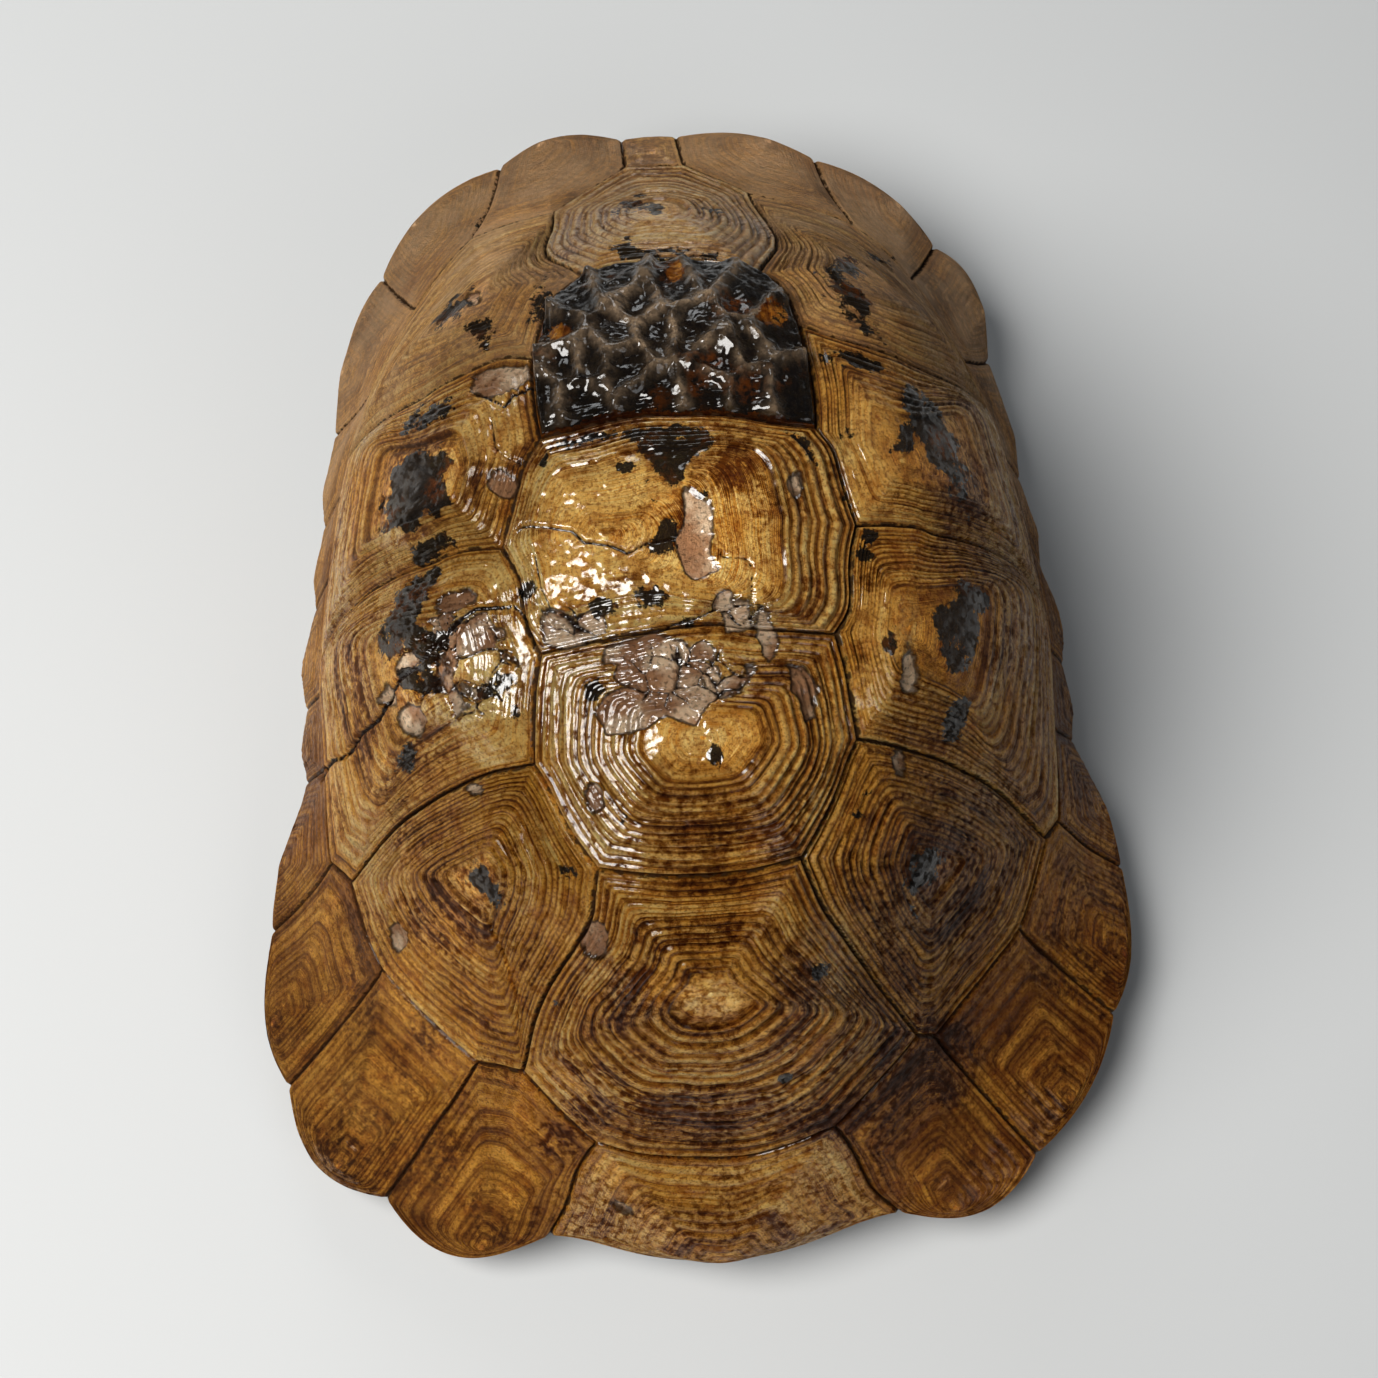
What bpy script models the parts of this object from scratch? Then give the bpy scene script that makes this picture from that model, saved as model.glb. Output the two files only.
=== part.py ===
# Tortoise shell: a domed carapace of bone and horny scutes, closed below by a flat plastron.
# The head end points along +Y, up is +Z, and the plastron rests on the ground at Z = 0.
# Sizes are in millimetres, bearings are degrees from the head end about the crown of the dome,
# and a reach is a share of the way from the crown (0) down to the rim (1).

import math

import bmesh
import bpy
import numpy as np
from mathutils import Vector, noise

MM = 0.001
WELD = 0.00001

# Driving dimensions
CROWN_HEIGHT = 114.0
CROWN_X = 0.9
CROWN_Y = -6.5
WALL = 4.6
RIM_LIP = 2.2
SHOULDER = 0.60
FLANK = 0.50
FLARE = 0.36

# Bearing, then radius, height and slope at the knee above the marginals, then the same at the rim
STATIONS = (
    (0.0, 108.0, 47.5, 42, 122.0, 40.5, 14),
    (12.0, 104.0, 49.5, 45, 122.5, 38.5, 18),
    (22.5, 103.5, 47.5, 47, 120.0, 33.5, 26),
    (32.0, 97.0, 46.0, 54, 114.5, 28.0, 32),
    (42.0, 89.5, 44.0, 64, 103.0, 22.5, 50),
    (52.5, 83.0, 42.0, 70, 92.0, 18.5, 68),
    (67.0, 76.0, 40.0, 74, 82.5, 17.0, 78),
    (83.0, 73.0, 38.5, 76, 79.3, 17.0, 80),
    (99.0, 73.8, 38.0, 74, 80.2, 17.5, 74),
    (115.0, 78.5, 38.0, 64, 95.5, 15.0, 38),
    (131.0, 82.0, 38.0, 60, 111.5, 12.5, 26),
    (146.0, 85.5, 40.0, 59, 116.0, 12.5, 28),
    (155.0, 88.5, 42.0, 62, 115.0, 12.5, 34),
    (166.0, 93.5, 42.0, 65, 110.5, 14.0, 62),
    (180.0, 93.0, 43.0, 65, 110.5, 13.0, 86),
)

# Where three scutes meet: bearing and reach on the left, then on the right
JUNCTIONS = {
    "nuchal_rear": ((3.0, 0.936), (3.3, 0.932)),
    "v1_front": ((12.3, 0.824), (11.0, 0.844)),
    "v1_v2": ((14.3, 0.454), (16.7, 0.428)),
    "v2_side": ((33.0, 0.300), (29.0, 0.318)),
    "v2_v3": ((49.0, 0.200), (51.3, 0.202)),
    "v3_side": ((87.7, 0.238), (87.0, 0.226)),
    "v3_v4": ((126.0, 0.208), (125.7, 0.202)),
    "v4_side": ((142.3, 0.316), (141.7, 0.310)),
    "v4_v5": ((161.7, 0.386), (162.7, 0.384)),
    "v5_side": ((155.7, 0.720), (153.0, 0.720)),
    "v5_tail": ((166.3, 0.796), (166.3, 0.792)),
    "m1_m2": ((22.0, 0.852), (23.3, 0.840)),
    "m2_m3": ((32.3, 0.810), (32.3, 0.822)),
    "m3_m4": ((44.0, 0.812), (44.0, 0.815)),
    "c1_c2": ((53.0, 0.812), (52.7, 0.818)),
    "m4_m5": ((58.0, 0.815), (58.0, 0.818)),
    "m5_m6": ((70.0, 0.822), (70.0, 0.824)),
    "c2_c3": ((84.0, 0.826), (82.7, 0.830)),
    "m6_m7": ((89.0, 0.830), (88.5, 0.830)),
    "m7_m8": ((102.0, 0.812), (103.0, 0.806)),
    "m8_m9": ((115.3, 0.798), (116.0, 0.792)),
    "c3_c4": ((120.3, 0.754), (120.0, 0.758)),
    "m9_m10": ((131.7, 0.752), (132.0, 0.740)),
    "m10_m11": ((149.7, 0.741), (150.7, 0.737)),
}

# The notches in the rim: bearing and reach on the left, then on the right
NOTCHES = {
    "nuchal": ((3.0, 1.0), (2.5, 1.0)),
    "m1_m2": ((15.5, 1.012), (16.7, 1.0)),
    "m2_m3": ((31.3, 1.0), (31.3, 1.0)),
    "m3_m4": ((47.3, 1.0), (43.5, 0.998)),
    "m4_m5": ((58.5, 1.0), (57.5, 1.0)),
    "m5_m6": ((70.6, 1.0), (70.6, 1.0)),
    "m6_m7": ((86.5, 1.0), (86.5, 1.0)),
    "m7_m8": ((98.0, 1.0), (98.7, 1.0)),
    "m8_m9": ((115.3, 1.0), (114.0, 1.0)),
    "m9_m10": ((130.7, 0.996), (130.0, 0.968)),
    "m10_m11": ((145.7, 0.998), (146.3, 0.988)),
    "tail": ((162.5, 1.0), (161.5, 1.0)),
}

# Points that bend a seam between its two junctions, as bearing and reach on the right
BENDS = {
    ("v1_front", "v1_v2"): ((16.8, 0.635),),
    ("v1_v2", "v1_v2"): ((-8.5, 0.464), (7.0, 0.456)),
    ("v1_v2", "v2_side"): ((21.5, 0.400),),
    ("v2_side", "v2_v3"): ((40.0, 0.244),),
    ("v2_v3", "v2_v3"): ((-29.5, 0.135), (0.0, 0.116), (30.5, 0.133)),
    ("v2_v3", "v3_side"): ((63.5, 0.215),),
    ("v3_side", "v3_v4"): ((102.0, 0.214), (115.5, 0.216)),
    ("v3_v4", "v3_v4"): ((-141.5, 0.132), (176.0, 0.086), (142.0, 0.127)),
    ("v4_v5", "v4_v5"): ((180.0, 0.375),),
    ("v4_v5", "v5_side"): ((162.0, 0.458), (160.3, 0.509), (156.5, 0.620)),
    ("v5_tail", "v5_tail"): ((-172.0, 0.801), (176.0, 0.805)),
    ("v2_side", "c1_c2"): ((37.5, 0.352), (45.5, 0.425), (51.0, 0.530)),
    ("v3_side", "c2_c3"): ((86.0, 0.329), (86.3, 0.424)),
    ("v4_side", "c3_c4"): ((132.5, 0.400), (126.0, 0.511), (122.6, 0.609)),
    ("v5_tail", "tail"): ((164.6, 0.853), (163.6, 0.932)),
}

# Scute name, its junctions from head to tail on one side, and its growth centre
VERTEBRALS = (
    ("vertebral_1", ("nuchal_rear", "v1_front", "v1_v2"), (0.0, 0.590)),
    ("vertebral_2", ("v1_v2", "v2_side", "v2_v3"), (0.0, 0.215)),
    ("vertebral_3", ("v2_v3", "v3_side", "v3_v4"), (100.0, 0.020)),
    ("vertebral_4", ("v3_v4", "v4_side", "v4_v5"), (178.0, 0.222)),
    ("vertebral_5", ("v4_v5", "v5_side", "v5_tail"), (180.0, 0.536)),
)

# Scute name, its junctions in order round it, and its growth centre on the left and the right
COSTALS = (
    (
        "costal_1",
        ("v1_v2", "v1_front", "m1_m2", "m2_m3", "m3_m4", "c1_c2", "v2_side"),
        ((35.0, 0.500), (32.5, 0.530)),
    ),
    (
        "costal_2",
        ("v2_side", "c1_c2", "m4_m5", "m5_m6", "c2_c3", "v3_side", "v2_v3"),
        ((68.7, 0.380), (66.0, 0.390)),
    ),
    (
        "costal_3",
        ("v3_side", "c2_c3", "m6_m7", "m7_m8", "m8_m9", "c3_c4", "v4_side", "v3_v4"),
        ((105.0, 0.384), (110.0, 0.370)),
    ),
    (
        "costal_4",
        ("v4_side", "c3_c4", "m9_m10", "m10_m11", "v5_side", "v4_v5"),
        ((144.0, 0.490), (144.3, 0.516)),
    ),
)

# The junctions along each marginal's upper edge, its two rim notches, and how far its rim swells
# on the left and on the right
MARGINALS = (
    (("nuchal_rear", "v1_front", "m1_m2"), "nuchal", "m1_m2", (3.4, 1.8)),
    (("m1_m2", "m2_m3"), "m1_m2", "m2_m3", (3.8, 2.4)),
    (("m2_m3", "m3_m4"), "m2_m3", "m3_m4", (2.8, 7.2)),
    (("m3_m4", "c1_c2", "m4_m5"), "m3_m4", "m4_m5", (1.0, 1.2)),
    (("m4_m5", "m5_m6"), "m4_m5", "m5_m6", (0.8, 0.8)),
    (("m5_m6", "c2_c3", "m6_m7"), "m5_m6", "m6_m7", (0.8, 0.8)),
    (("m6_m7", "m7_m8"), "m6_m7", "m7_m8", (0.8, 0.8)),
    (("m7_m8", "m8_m9"), "m7_m8", "m8_m9", (1.4, 1.6)),
    (("m8_m9", "c3_c4", "m9_m10"), "m8_m9", "m9_m10", (2.2, 1.4)),
    (("m9_m10", "m10_m11"), "m9_m10", "m10_m11", (4.4, 0.6)),
    (("m10_m11", "v5_side", "v5_tail"), "m10_m11", "tail", (4.6, 3.2)),
)
NUCHAL_SWELL = 0.5
TAIL_SWELL = 6.6
TAIL_CENTRE = (180.0, 0.925)

# Growth ledges from the seam (0) to the growth centre (1), with the lift of the horn at each
LARGE_LEDGES = ((0.07, 0.2), (0.28, 0.8), (0.33, 1.5), (0.58, 1.9), (0.63, 2.6), (1.0, 2.9))
MARGINAL_LEDGES = ((0.16, 0.2), (0.55, 0.5), (0.62, 1.0), (1.0, 1.2))
TAIL_LEDGES = ((0.10, 0.2), (0.40, 0.9), (0.48, 1.5), (1.0, 2.0))
SEAM_DEPTH = 0.9
CENTRE_SHARE = 0.22
LARGE_STEP = 9.0
RIM_STEP = 8.0
LUMP_LIFT = 1.5
LUMP_SIZE = 9.0

# The bearings between which the rim turns under to meet the plastron's bridge
BRIDGE = (59.0, 101.0)
BRIDGE_EASE = 10.0
BRIDGE_INSET = 5.5
BRIDGE_BAND = 6.0
BRIDGE_HEIGHT = 10.0
SUTURE_GAP = 0.3

# Plastron: outline and seam points on the right, as X and Y from the middle of the shell
PLASTRON_MIDLINE = (99.0, 77.0, 46.0, 36.0, -34.0, -60.0, -80.0)
PLASTRON_EDGE = ((25.0, 92.0), (46.0, 52.0), (70.5, 33.0), (47.0, -35.0), (38.5, -64.0))
PLASTRON_BORDER = (
    ((7.0, 100.0), (18.0, 98.5)),
    ((34.0, 80.0), (41.0, 66.0)),
    ((56.0, 47.0), (67.0, 41.0)),
    ((71.5, 18.0), (73.0, 0.0), (73.5, -20.0), (67.0, -29.0), (55.0, -33.0)),
    ((43.5, -46.0), (42.0, -56.0)),
    ((33.0, -78.0), (22.0, -89.0), (12.0, -91.0), (4.0, -84.0)),
)
PLASTRON_THICKNESS = 5.4
PLASTRON_STEP = 9.0
PLASTRON_RINGS = (0.08, 0.60)
PLASTRON_TOP_RING = 0.35
PLASTRON_SEAM = 0.8
WING_START = 50.0
WING_RISE = 5.0
WING_TOP_START = 52.0
WING_TOP_END = 65.0
LOBE_START = 76.0
LOBE_RISE = 4.0


def remove_objects():
    for thing in list(bpy.data.objects):
        bpy.data.objects.remove(thing, do_unlink=True)


def make_material(name, colour, roughness):
    material = bpy.data.materials.new(name)
    material.use_nodes = True
    shader = material.node_tree.nodes["Principled BSDF"]
    shader.inputs["Base Color"].default_value = (*colour, 1.0)
    shader.inputs["Roughness"].default_value = roughness
    shader.inputs["Metallic"].default_value = 0.0
    return material


def ease(share):
    share = np.clip(share, 0.0, 1.0)
    return share * share * (3.0 - 2.0 * share)


# The base surface of the dome

def on_disk(bearing, reach):
    angle = math.radians(bearing)
    return np.array((reach * math.sin(angle), reach * math.cos(angle)))


def station_values(bearing):
    table = np.array(STATIONS)
    stops = table[:, 0]
    values = table[:, 1:]
    slopes = np.gradient(values, stops, axis=0)
    slopes[0] = 0.0
    slopes[-1] = 0.0
    folded = np.abs(bearing)
    high = np.clip(np.searchsorted(stops, folded), 1, len(stops) - 1)
    low = high - 1
    span = (stops[high] - stops[low])[:, None]
    u = (folded - stops[low])[:, None] / span
    start = values[low] * (1 + 2 * u) * (1 - u) ** 2 + slopes[low] * span * u * (1 - u) ** 2
    end = values[high] * u**2 * (3 - 2 * u) + slopes[high] * span * u**2 * (u - 1)
    return (start + end).T


def bezier(a, b, c, d, u):
    v = 1.0 - u
    return v**3 * a + 3 * u * v**2 * b + 3 * u**2 * v * c + u**3 * d


def dome_point(disk):
    bearing = np.degrees(np.arctan2(disk[:, 0], disk[:, 1]))
    reach = np.hypot(disk[:, 0], disk[:, 1])
    knee_r, knee_z, knee_slope, rim_r, rim_z, rim_slope = station_values(bearing)
    knee_slope = np.radians(knee_slope)
    rim_slope = np.radians(rim_slope)
    upper = np.hypot(knee_r, CROWN_HEIGHT - knee_z)
    lower = np.hypot(rim_r - knee_r, knee_z - rim_z)
    knee = upper / (upper + lower)
    flank = FLANK * upper
    flare = FLARE * lower
    u = np.clip(reach / knee, 0.0, 1.0)
    v = np.clip((reach - knee) / (1.0 - knee), 0.0, 1.0)
    top_r = bezier(0.0, SHOULDER * knee_r, knee_r - flank * np.cos(knee_slope), knee_r, u)
    top_z = bezier(CROWN_HEIGHT, CROWN_HEIGHT, knee_z + flank * np.sin(knee_slope), knee_z, u)
    skirt_r = bezier(knee_r, knee_r + flare * np.cos(knee_slope), rim_r - flare * np.cos(rim_slope), rim_r, v)
    skirt_z = bezier(knee_z, knee_z - flare * np.sin(knee_slope), rim_z + flare * np.sin(rim_slope), rim_z, v)
    beyond = np.maximum(reach - 1.0, 0.0) * (upper + lower)
    radius = np.where(reach < knee, top_r, skirt_r) + beyond * np.cos(rim_slope)
    height = np.where(reach < knee, top_z, skirt_z) - beyond * np.sin(rim_slope)
    angle = np.radians(bearing)
    return np.stack((CROWN_X + radius * np.sin(angle), CROWN_Y + radius * np.cos(angle), height), axis=1)


def dome_normal(disk):
    nudge = 0.004
    across = dome_point(disk + (nudge, 0.0)) - dome_point(disk - (nudge, 0.0))
    along = dome_point(disk + (0.0, nudge)) - dome_point(disk - (0.0, nudge))
    normal = np.cross(across, along)
    return normal / np.linalg.norm(normal, axis=1)[:, None]


# Seams and the outlines of the scutes

def smooth_path(stops, count):
    stops = np.array(stops)
    ends = (2 * stops[0] - stops[1], 2 * stops[-1] - stops[-2])
    padded = np.vstack((ends[0], stops, ends[1]))
    path = []
    for step in range(count):
        place = (len(stops) - 1) * step / count
        i = min(int(place), len(stops) - 2)
        u = place - i
        a, b, c, d = padded[i : i + 4]
        path.append(0.5 * (2 * b + (c - a) * u + (2 * a - 5 * b + 4 * c - d) * u**2 + (3 * b - a - 3 * c + d) * u**3))
    return np.array(path)


def step_count(points, step):
    length = np.linalg.norm(np.diff(points, axis=0), axis=1).sum()
    return max(1, round(length / step))


def junction(name, side):
    bearing, reach = JUNCTIONS[name][0 if side < 0 else 1]
    return on_disk(side * bearing, reach)


def notch(name, side):
    bearing, reach = NOTCHES[name][0 if side < 0 else 1]
    return on_disk(side * bearing, reach)


def bends(first, last, side):
    if (first, last) in BENDS:
        return [on_disk(side * bearing, reach) for bearing, reach in BENDS[first, last]]
    if (last, first) in BENDS:
        return [on_disk(side * bearing, reach) for bearing, reach in reversed(BENDS[last, first])]
    return []


def seam(start, middle, end):
    stops = [start, *middle, end]
    count = step_count(dome_point(np.array(stops)), LARGE_STEP)
    return smooth_path(stops, max(count, len(stops) - 1))


def rim_run(first, last, swell, power=1):
    start = math.degrees(math.atan2(*first))
    end = math.degrees(math.atan2(*last))
    turn = (end - start + 180.0) % 360.0 - 180.0
    corners = dome_point(np.array((first, last)))
    count = step_count(corners, RIM_STEP)
    size = np.linalg.norm(corners[0] - (CROWN_X, CROWN_Y, CROWN_HEIGHT))
    run = []
    for step in range(count):
        share = step / count
        base = math.hypot(*first) * (1.0 - share) + math.hypot(*last) * share
        bulge = swell / size * math.sin(math.pi * share) ** power
        run.append(on_disk(start + turn * share, base + bulge))
    return np.array(run)


def chain(names, side):
    return [
        seam(junction(a, side), bends(a, b, side), junction(b, side))
        for a, b in zip(names, names[1:])
    ]


def reverse_run(run, end):
    return np.vstack((end, run[:0:-1]))


def across(name):
    return seam(junction(name, -1), bends(name, name, 1), junction(name, 1))


def outline_large(names, side):
    runs = chain(names, side)
    runs.append(seam(junction(names[-1], side), bends(names[-1], names[0], side), junction(names[0], side)))
    return np.vstack(runs)


def outline_vertebral(names):
    right = chain(names, 1)
    left = [
        reverse_run(run, junction(name, -1))
        for run, name in zip(chain(names, -1), names[1:])
    ]
    top = across(names[0])
    bottom = reverse_run(across(names[-1]), junction(names[-1], 1))
    return np.vstack((top, *right, bottom, *reversed(left)))


def marginal_sides(names, first, last, side):
    down = seam(junction(names[-1], side), bends(names[-1], last, side), notch(last, side))
    up = seam(junction(names[0], side), bends(names[0], first, side), notch(first, side))
    return down, reverse_run(up, notch(first, side))


# The carapace

class ScuteMesh:
    def __init__(self):
        self.mesh = bmesh.new()

    def add(self, point):
        return self.mesh.verts.new(Vector(point) * MM)

    def loop(self, points):
        return [self.add(point) for point in points]

    def strip(self, outer, inner):
        for i in range(len(outer)):
            j = (i + 1) % len(outer)
            self.mesh.faces.new((outer[i], outer[j], inner[j], inner[i]))

    def cap(self, ring, centre):
        middle = self.add(centre)
        for i in range(len(ring)):
            self.mesh.faces.new((ring[i], ring[(i + 1) % len(ring)], middle))


def lump_lift(points):
    return np.array([LUMP_LIFT * noise.noise(Vector(point) / LUMP_SIZE) for point in points])


def add_scute(shell, outline, centre, ledges, on_rim=None, lumpy=False):
    depth = np.full(len(outline), -SEAM_DEPTH)
    if on_rim is not None:
        depth[on_rim] = 0.0
    points = dome_point(outline)
    normals = dome_normal(outline)
    outer = shell.loop(points + normals * depth[:, None])
    heart = centre + (outline - centre) * CENTRE_SHARE
    for share, lift in ledges:
        disk = outline + (heart - outline) * share
        points = dome_point(disk)
        rise = np.full(len(disk), lift)
        if lumpy:
            rise += lump_lift(points) * min(1.0, 4.0 * share)
        inner = shell.loop(points + dome_normal(disk) * rise[:, None])
        shell.strip(outer, inner)
        outer = inner
    middle = centre[None, :]
    shell.cap(outer, (dome_point(middle) + dome_normal(middle) * (ledges[-1][1] + 0.3))[0])


def add_vertebrals(shell):
    for name, names, (bearing, reach) in VERTEBRALS:
        centre = on_disk(bearing, reach)
        add_scute(shell, outline_vertebral(names), centre, LARGE_LEDGES, lumpy=name == "vertebral_2")


def add_costals(shell):
    for _, names, centres in COSTALS:
        for side, (bearing, reach) in zip((-1, 1), centres):
            add_scute(shell, outline_large(names, side), on_disk(side * bearing, reach), LARGE_LEDGES)


def add_marginals(shell):
    runs = {}
    for number, (names, first, last, swell) in enumerate(MARGINALS):
        for side in (-1, 1):
            down, up = marginal_sides(names, first, last, side)
            top = chain(names, side)
            rim = rim_run(notch(last, side), notch(first, side), swell[0 if side < 0 else 1])
            outline = np.vstack((*top, down, rim, up))
            start = len(outline) - len(up) - len(rim)
            on_rim = slice(start + 1, start + len(rim))
            corner = 0.62 * notch(last, side) + 0.38 * notch(first, side)
            head = 0.62 * junction(names[-1], side) + 0.38 * junction(names[0], side)
            add_scute(shell, outline, 0.68 * corner + 0.32 * head, MARGINAL_LEDGES, on_rim)
            runs[side, number] = rim
    return runs


def add_nuchal(shell):
    top = across("nuchal_rear")
    right = seam(junction("nuchal_rear", 1), (), notch("nuchal", 1))
    left = reverse_run(seam(junction("nuchal_rear", -1), (), notch("nuchal", -1)), notch("nuchal", -1))
    rim = rim_run(notch("nuchal", 1), notch("nuchal", -1), NUCHAL_SWELL)
    outline = np.vstack((top, right, rim, left))
    start = len(top) + len(right)
    centre = outline.mean(axis=0)
    add_scute(shell, outline, centre, ((0.25, 0.2), (1.0, 0.4)), slice(start + 1, start + len(rim)))
    return rim


def add_supracaudal(shell):
    top = reverse_run(across("v5_tail"), junction("v5_tail", 1))
    left = seam(junction("v5_tail", -1), bends("v5_tail", "tail", -1), notch("tail", -1))
    up = seam(junction("v5_tail", 1), bends("v5_tail", "tail", 1), notch("tail", 1))
    right = reverse_run(up, notch("tail", 1))
    rim = rim_run(notch("tail", -1), notch("tail", 1), TAIL_SWELL, power=2)
    outline = np.vstack((top, left, rim, right))
    start = len(top) + len(left)
    on_rim = slice(start + 1, start + len(rim))
    add_scute(shell, outline, on_disk(*TAIL_CENTRE), TAIL_LEDGES, on_rim)
    return rim


def rim_loop(marginals, nuchal, tail):
    count = len(MARGINALS)
    right = [marginals[1, number] for number in reversed(range(count))]
    left = [marginals[-1, number] for number in range(count)]
    left = [reverse_run(run, notch(MARGINALS[i][1], -1)) for i, run in enumerate(left)]
    return np.vstack((*right, nuchal, *left, tail))


def bridge_share(bearing):
    start, end = BRIDGE
    into = ease((bearing - start + BRIDGE_EASE) / BRIDGE_EASE)
    out = ease((end + BRIDGE_EASE - bearing) / BRIDGE_EASE)
    return (into * out)[:, None]


def inside_point(disk, depth):
    return dome_point(disk) - dome_normal(disk) * depth


def add_inside(shell, rim):
    outward = rim / np.linalg.norm(rim, axis=1)[:, None]
    bearing = np.degrees(np.arctan2(rim[:, 0], rim[:, 1]))
    edge = dome_point(rim)
    edge[rim_notches(rim)] -= dome_normal(rim[rim_notches(rim)]) * SEAM_DEPTH
    share = bridge_share(np.abs(bearing))
    plan = np.hypot(edge[:, 0] - CROWN_X, edge[:, 1] - CROWN_Y)[:, None]

    def bridge_point(inset):
        place = outward * (plan - inset) + (CROWN_X, CROWN_Y)
        return np.hstack((place, np.full_like(plan, BRIDGE_HEIGHT)))

    lip = edge - np.hstack((outward * 0.8, np.full_like(plan, RIM_LIP)))
    seat = inside_point(outward * 0.955, WALL)
    inner = inside_point(outward * 0.90, WALL)
    loops = [
        edge,
        lip,
        seat + (bridge_point(BRIDGE_INSET) - seat) * share,
        inner + (bridge_point(BRIDGE_INSET + BRIDGE_BAND) - inner) * share,
    ]
    loops += [inside_point(outward * reach, WALL) for reach in (0.80, 0.62, 0.44, 0.26, 0.10)]
    rings = [shell.loop(points) for points in loops]
    for outer, following in zip(rings, rings[1:]):
        shell.strip(outer, following)
    shell.cap(rings[-1], inside_point(np.array(((0.0, 0.0001),)), WALL)[0])


def rim_notches(rim):
    corners = [notch(name, side) for name in NOTCHES for side in (-1, 1)]
    return [i for i, place in enumerate(rim) if min(np.abs(place - c).max() for c in corners) < 1e-6]


def finish_object(name, mesh, material):
    bmesh.ops.remove_doubles(mesh, verts=mesh.verts, dist=WELD)
    bmesh.ops.triangulate(mesh, faces=mesh.faces)
    bmesh.ops.recalc_face_normals(mesh, faces=mesh.faces)
    data = bpy.data.meshes.new(name)
    mesh.to_mesh(data)
    mesh.free()
    data.materials.append(material)
    thing = bpy.data.objects.new(name, data)
    bpy.context.scene.collection.objects.link(thing)
    return thing


def make_carapace():
    shell = ScuteMesh()
    add_vertebrals(shell)
    add_costals(shell)
    marginals = add_marginals(shell)
    nuchal = add_nuchal(shell)
    tail = add_supracaudal(shell)
    add_inside(shell, rim_loop(marginals, nuchal, tail))
    horn = make_material("varnished_horn", (0.30, 0.15, 0.04), 0.3)
    return finish_object("carapace", shell.mesh, horn)


# The plastron

def plastron_bottom(plan):
    wing = np.clip((np.abs(plan[:, 0]) - WING_START) / 22.0, 0.0, 1.1)
    lobe = np.clip((plan[:, 1] - LOBE_START) / 24.0, 0.0, 1.1)
    return WING_RISE * wing**2 + LOBE_RISE * lobe**2


def plastron_top(plan):
    wing = ease((np.abs(plan[:, 0]) - WING_TOP_START) / (WING_TOP_END - WING_TOP_START))
    lobe = np.clip((plan[:, 1] - LOBE_START) / 24.0, 0.0, 1.1)
    seat = BRIDGE_HEIGHT - SUTURE_GAP
    return PLASTRON_THICKNESS + (seat - PLASTRON_THICKNESS) * wing + LOBE_RISE * lobe**2


def plan_seam(start, middle, end):
    stops = np.array([start, *middle, end], dtype=float)
    return smooth_path(stops, max(step_count(stops, PLASTRON_STEP), len(stops) - 1))


def plastron_outline(row, side):
    flip = np.array((side, 1.0))
    head = (0.0, PLASTRON_MIDLINE[row])
    tail = (0.0, PLASTRON_MIDLINE[row + 1])
    border = PLASTRON_BORDER[row]
    runs = []
    if row == 0:
        runs.append(plan_seam(head, border, PLASTRON_EDGE[0]))
        runs.append(plan_seam(PLASTRON_EDGE[0], (), tail))
    elif row == len(PLASTRON_EDGE):
        runs.append(plan_seam(head, (), PLASTRON_EDGE[-1]))
        runs.append(plan_seam(PLASTRON_EDGE[-1], border, tail))
    else:
        runs.append(plan_seam(head, (), PLASTRON_EDGE[row - 1]))
        runs.append(plan_seam(PLASTRON_EDGE[row - 1], border, PLASTRON_EDGE[row]))
        runs.append(plan_seam(PLASTRON_EDGE[row], (), tail))
    runs.append(plan_seam(tail, (), head))
    return np.vstack(runs) * flip


def plate_border():
    stops = ((0.0, PLASTRON_MIDLINE[0]), *PLASTRON_EDGE, (0.0, PLASTRON_MIDLINE[-1]))
    right = [plan_seam(a, middle, b) for a, middle, b in zip(stops, PLASTRON_BORDER, stops[1:])]
    left = [reverse_run(run, np.array(end)) for run, end in zip(right, stops[1:])]
    return np.vstack((*right, np.vstack(left[::-1]) * (-1.0, 1.0)))


def add_plate_scute(plate, outline, border):
    gaps = np.abs(outline[:, None, :] - border[None, :, :]).max(axis=2).min(axis=1)
    groove = np.where(gaps < 1e-6, 0.0, PLASTRON_SEAM)
    outer = plate.loop(np.column_stack((outline, plastron_bottom(outline) + groove)))
    centre = outline.mean(axis=0)
    for share in PLASTRON_RINGS:
        plan = outline + (centre - outline) * share
        inner = plate.loop(np.column_stack((plan, plastron_bottom(plan))))
        plate.strip(outer, inner)
        outer = inner
    plate.cap(outer, (*centre, 0.0))
    top = plate.loop(np.column_stack((outline, plastron_top(outline))))
    plan = outline + (centre - outline) * PLASTRON_TOP_RING
    ring = plate.loop(np.column_stack((plan, plastron_top(plan))))
    plate.strip(top, ring)
    plate.cap(ring, (*centre, plastron_top(centre[None, :])[0]))


def make_plastron():
    plate = ScuteMesh()
    border = plate_border()
    for row in range(len(PLASTRON_BORDER)):
        for side in (-1, 1):
            add_plate_scute(plate, plastron_outline(row, side), border)
    lower = plate.loop(np.column_stack((border, plastron_bottom(border))))
    upper = plate.loop(np.column_stack((border, plastron_top(border))))
    plate.strip(lower, upper)
    horn = make_material("belly_horn", (0.45, 0.29, 0.11), 0.4)
    return finish_object("plastron", plate.mesh, horn)


remove_objects()
make_carapace()
make_plastron()
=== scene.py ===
# Tortoise shell: the looks of the horn scutes, the bone under them and the belly plate.
# Sizes are millimetres until a mesh is written. Marks on the horn are placed by where the photo shows them.

import math

import bpy
import numpy as np
from mathutils import Matrix, Vector


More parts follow.
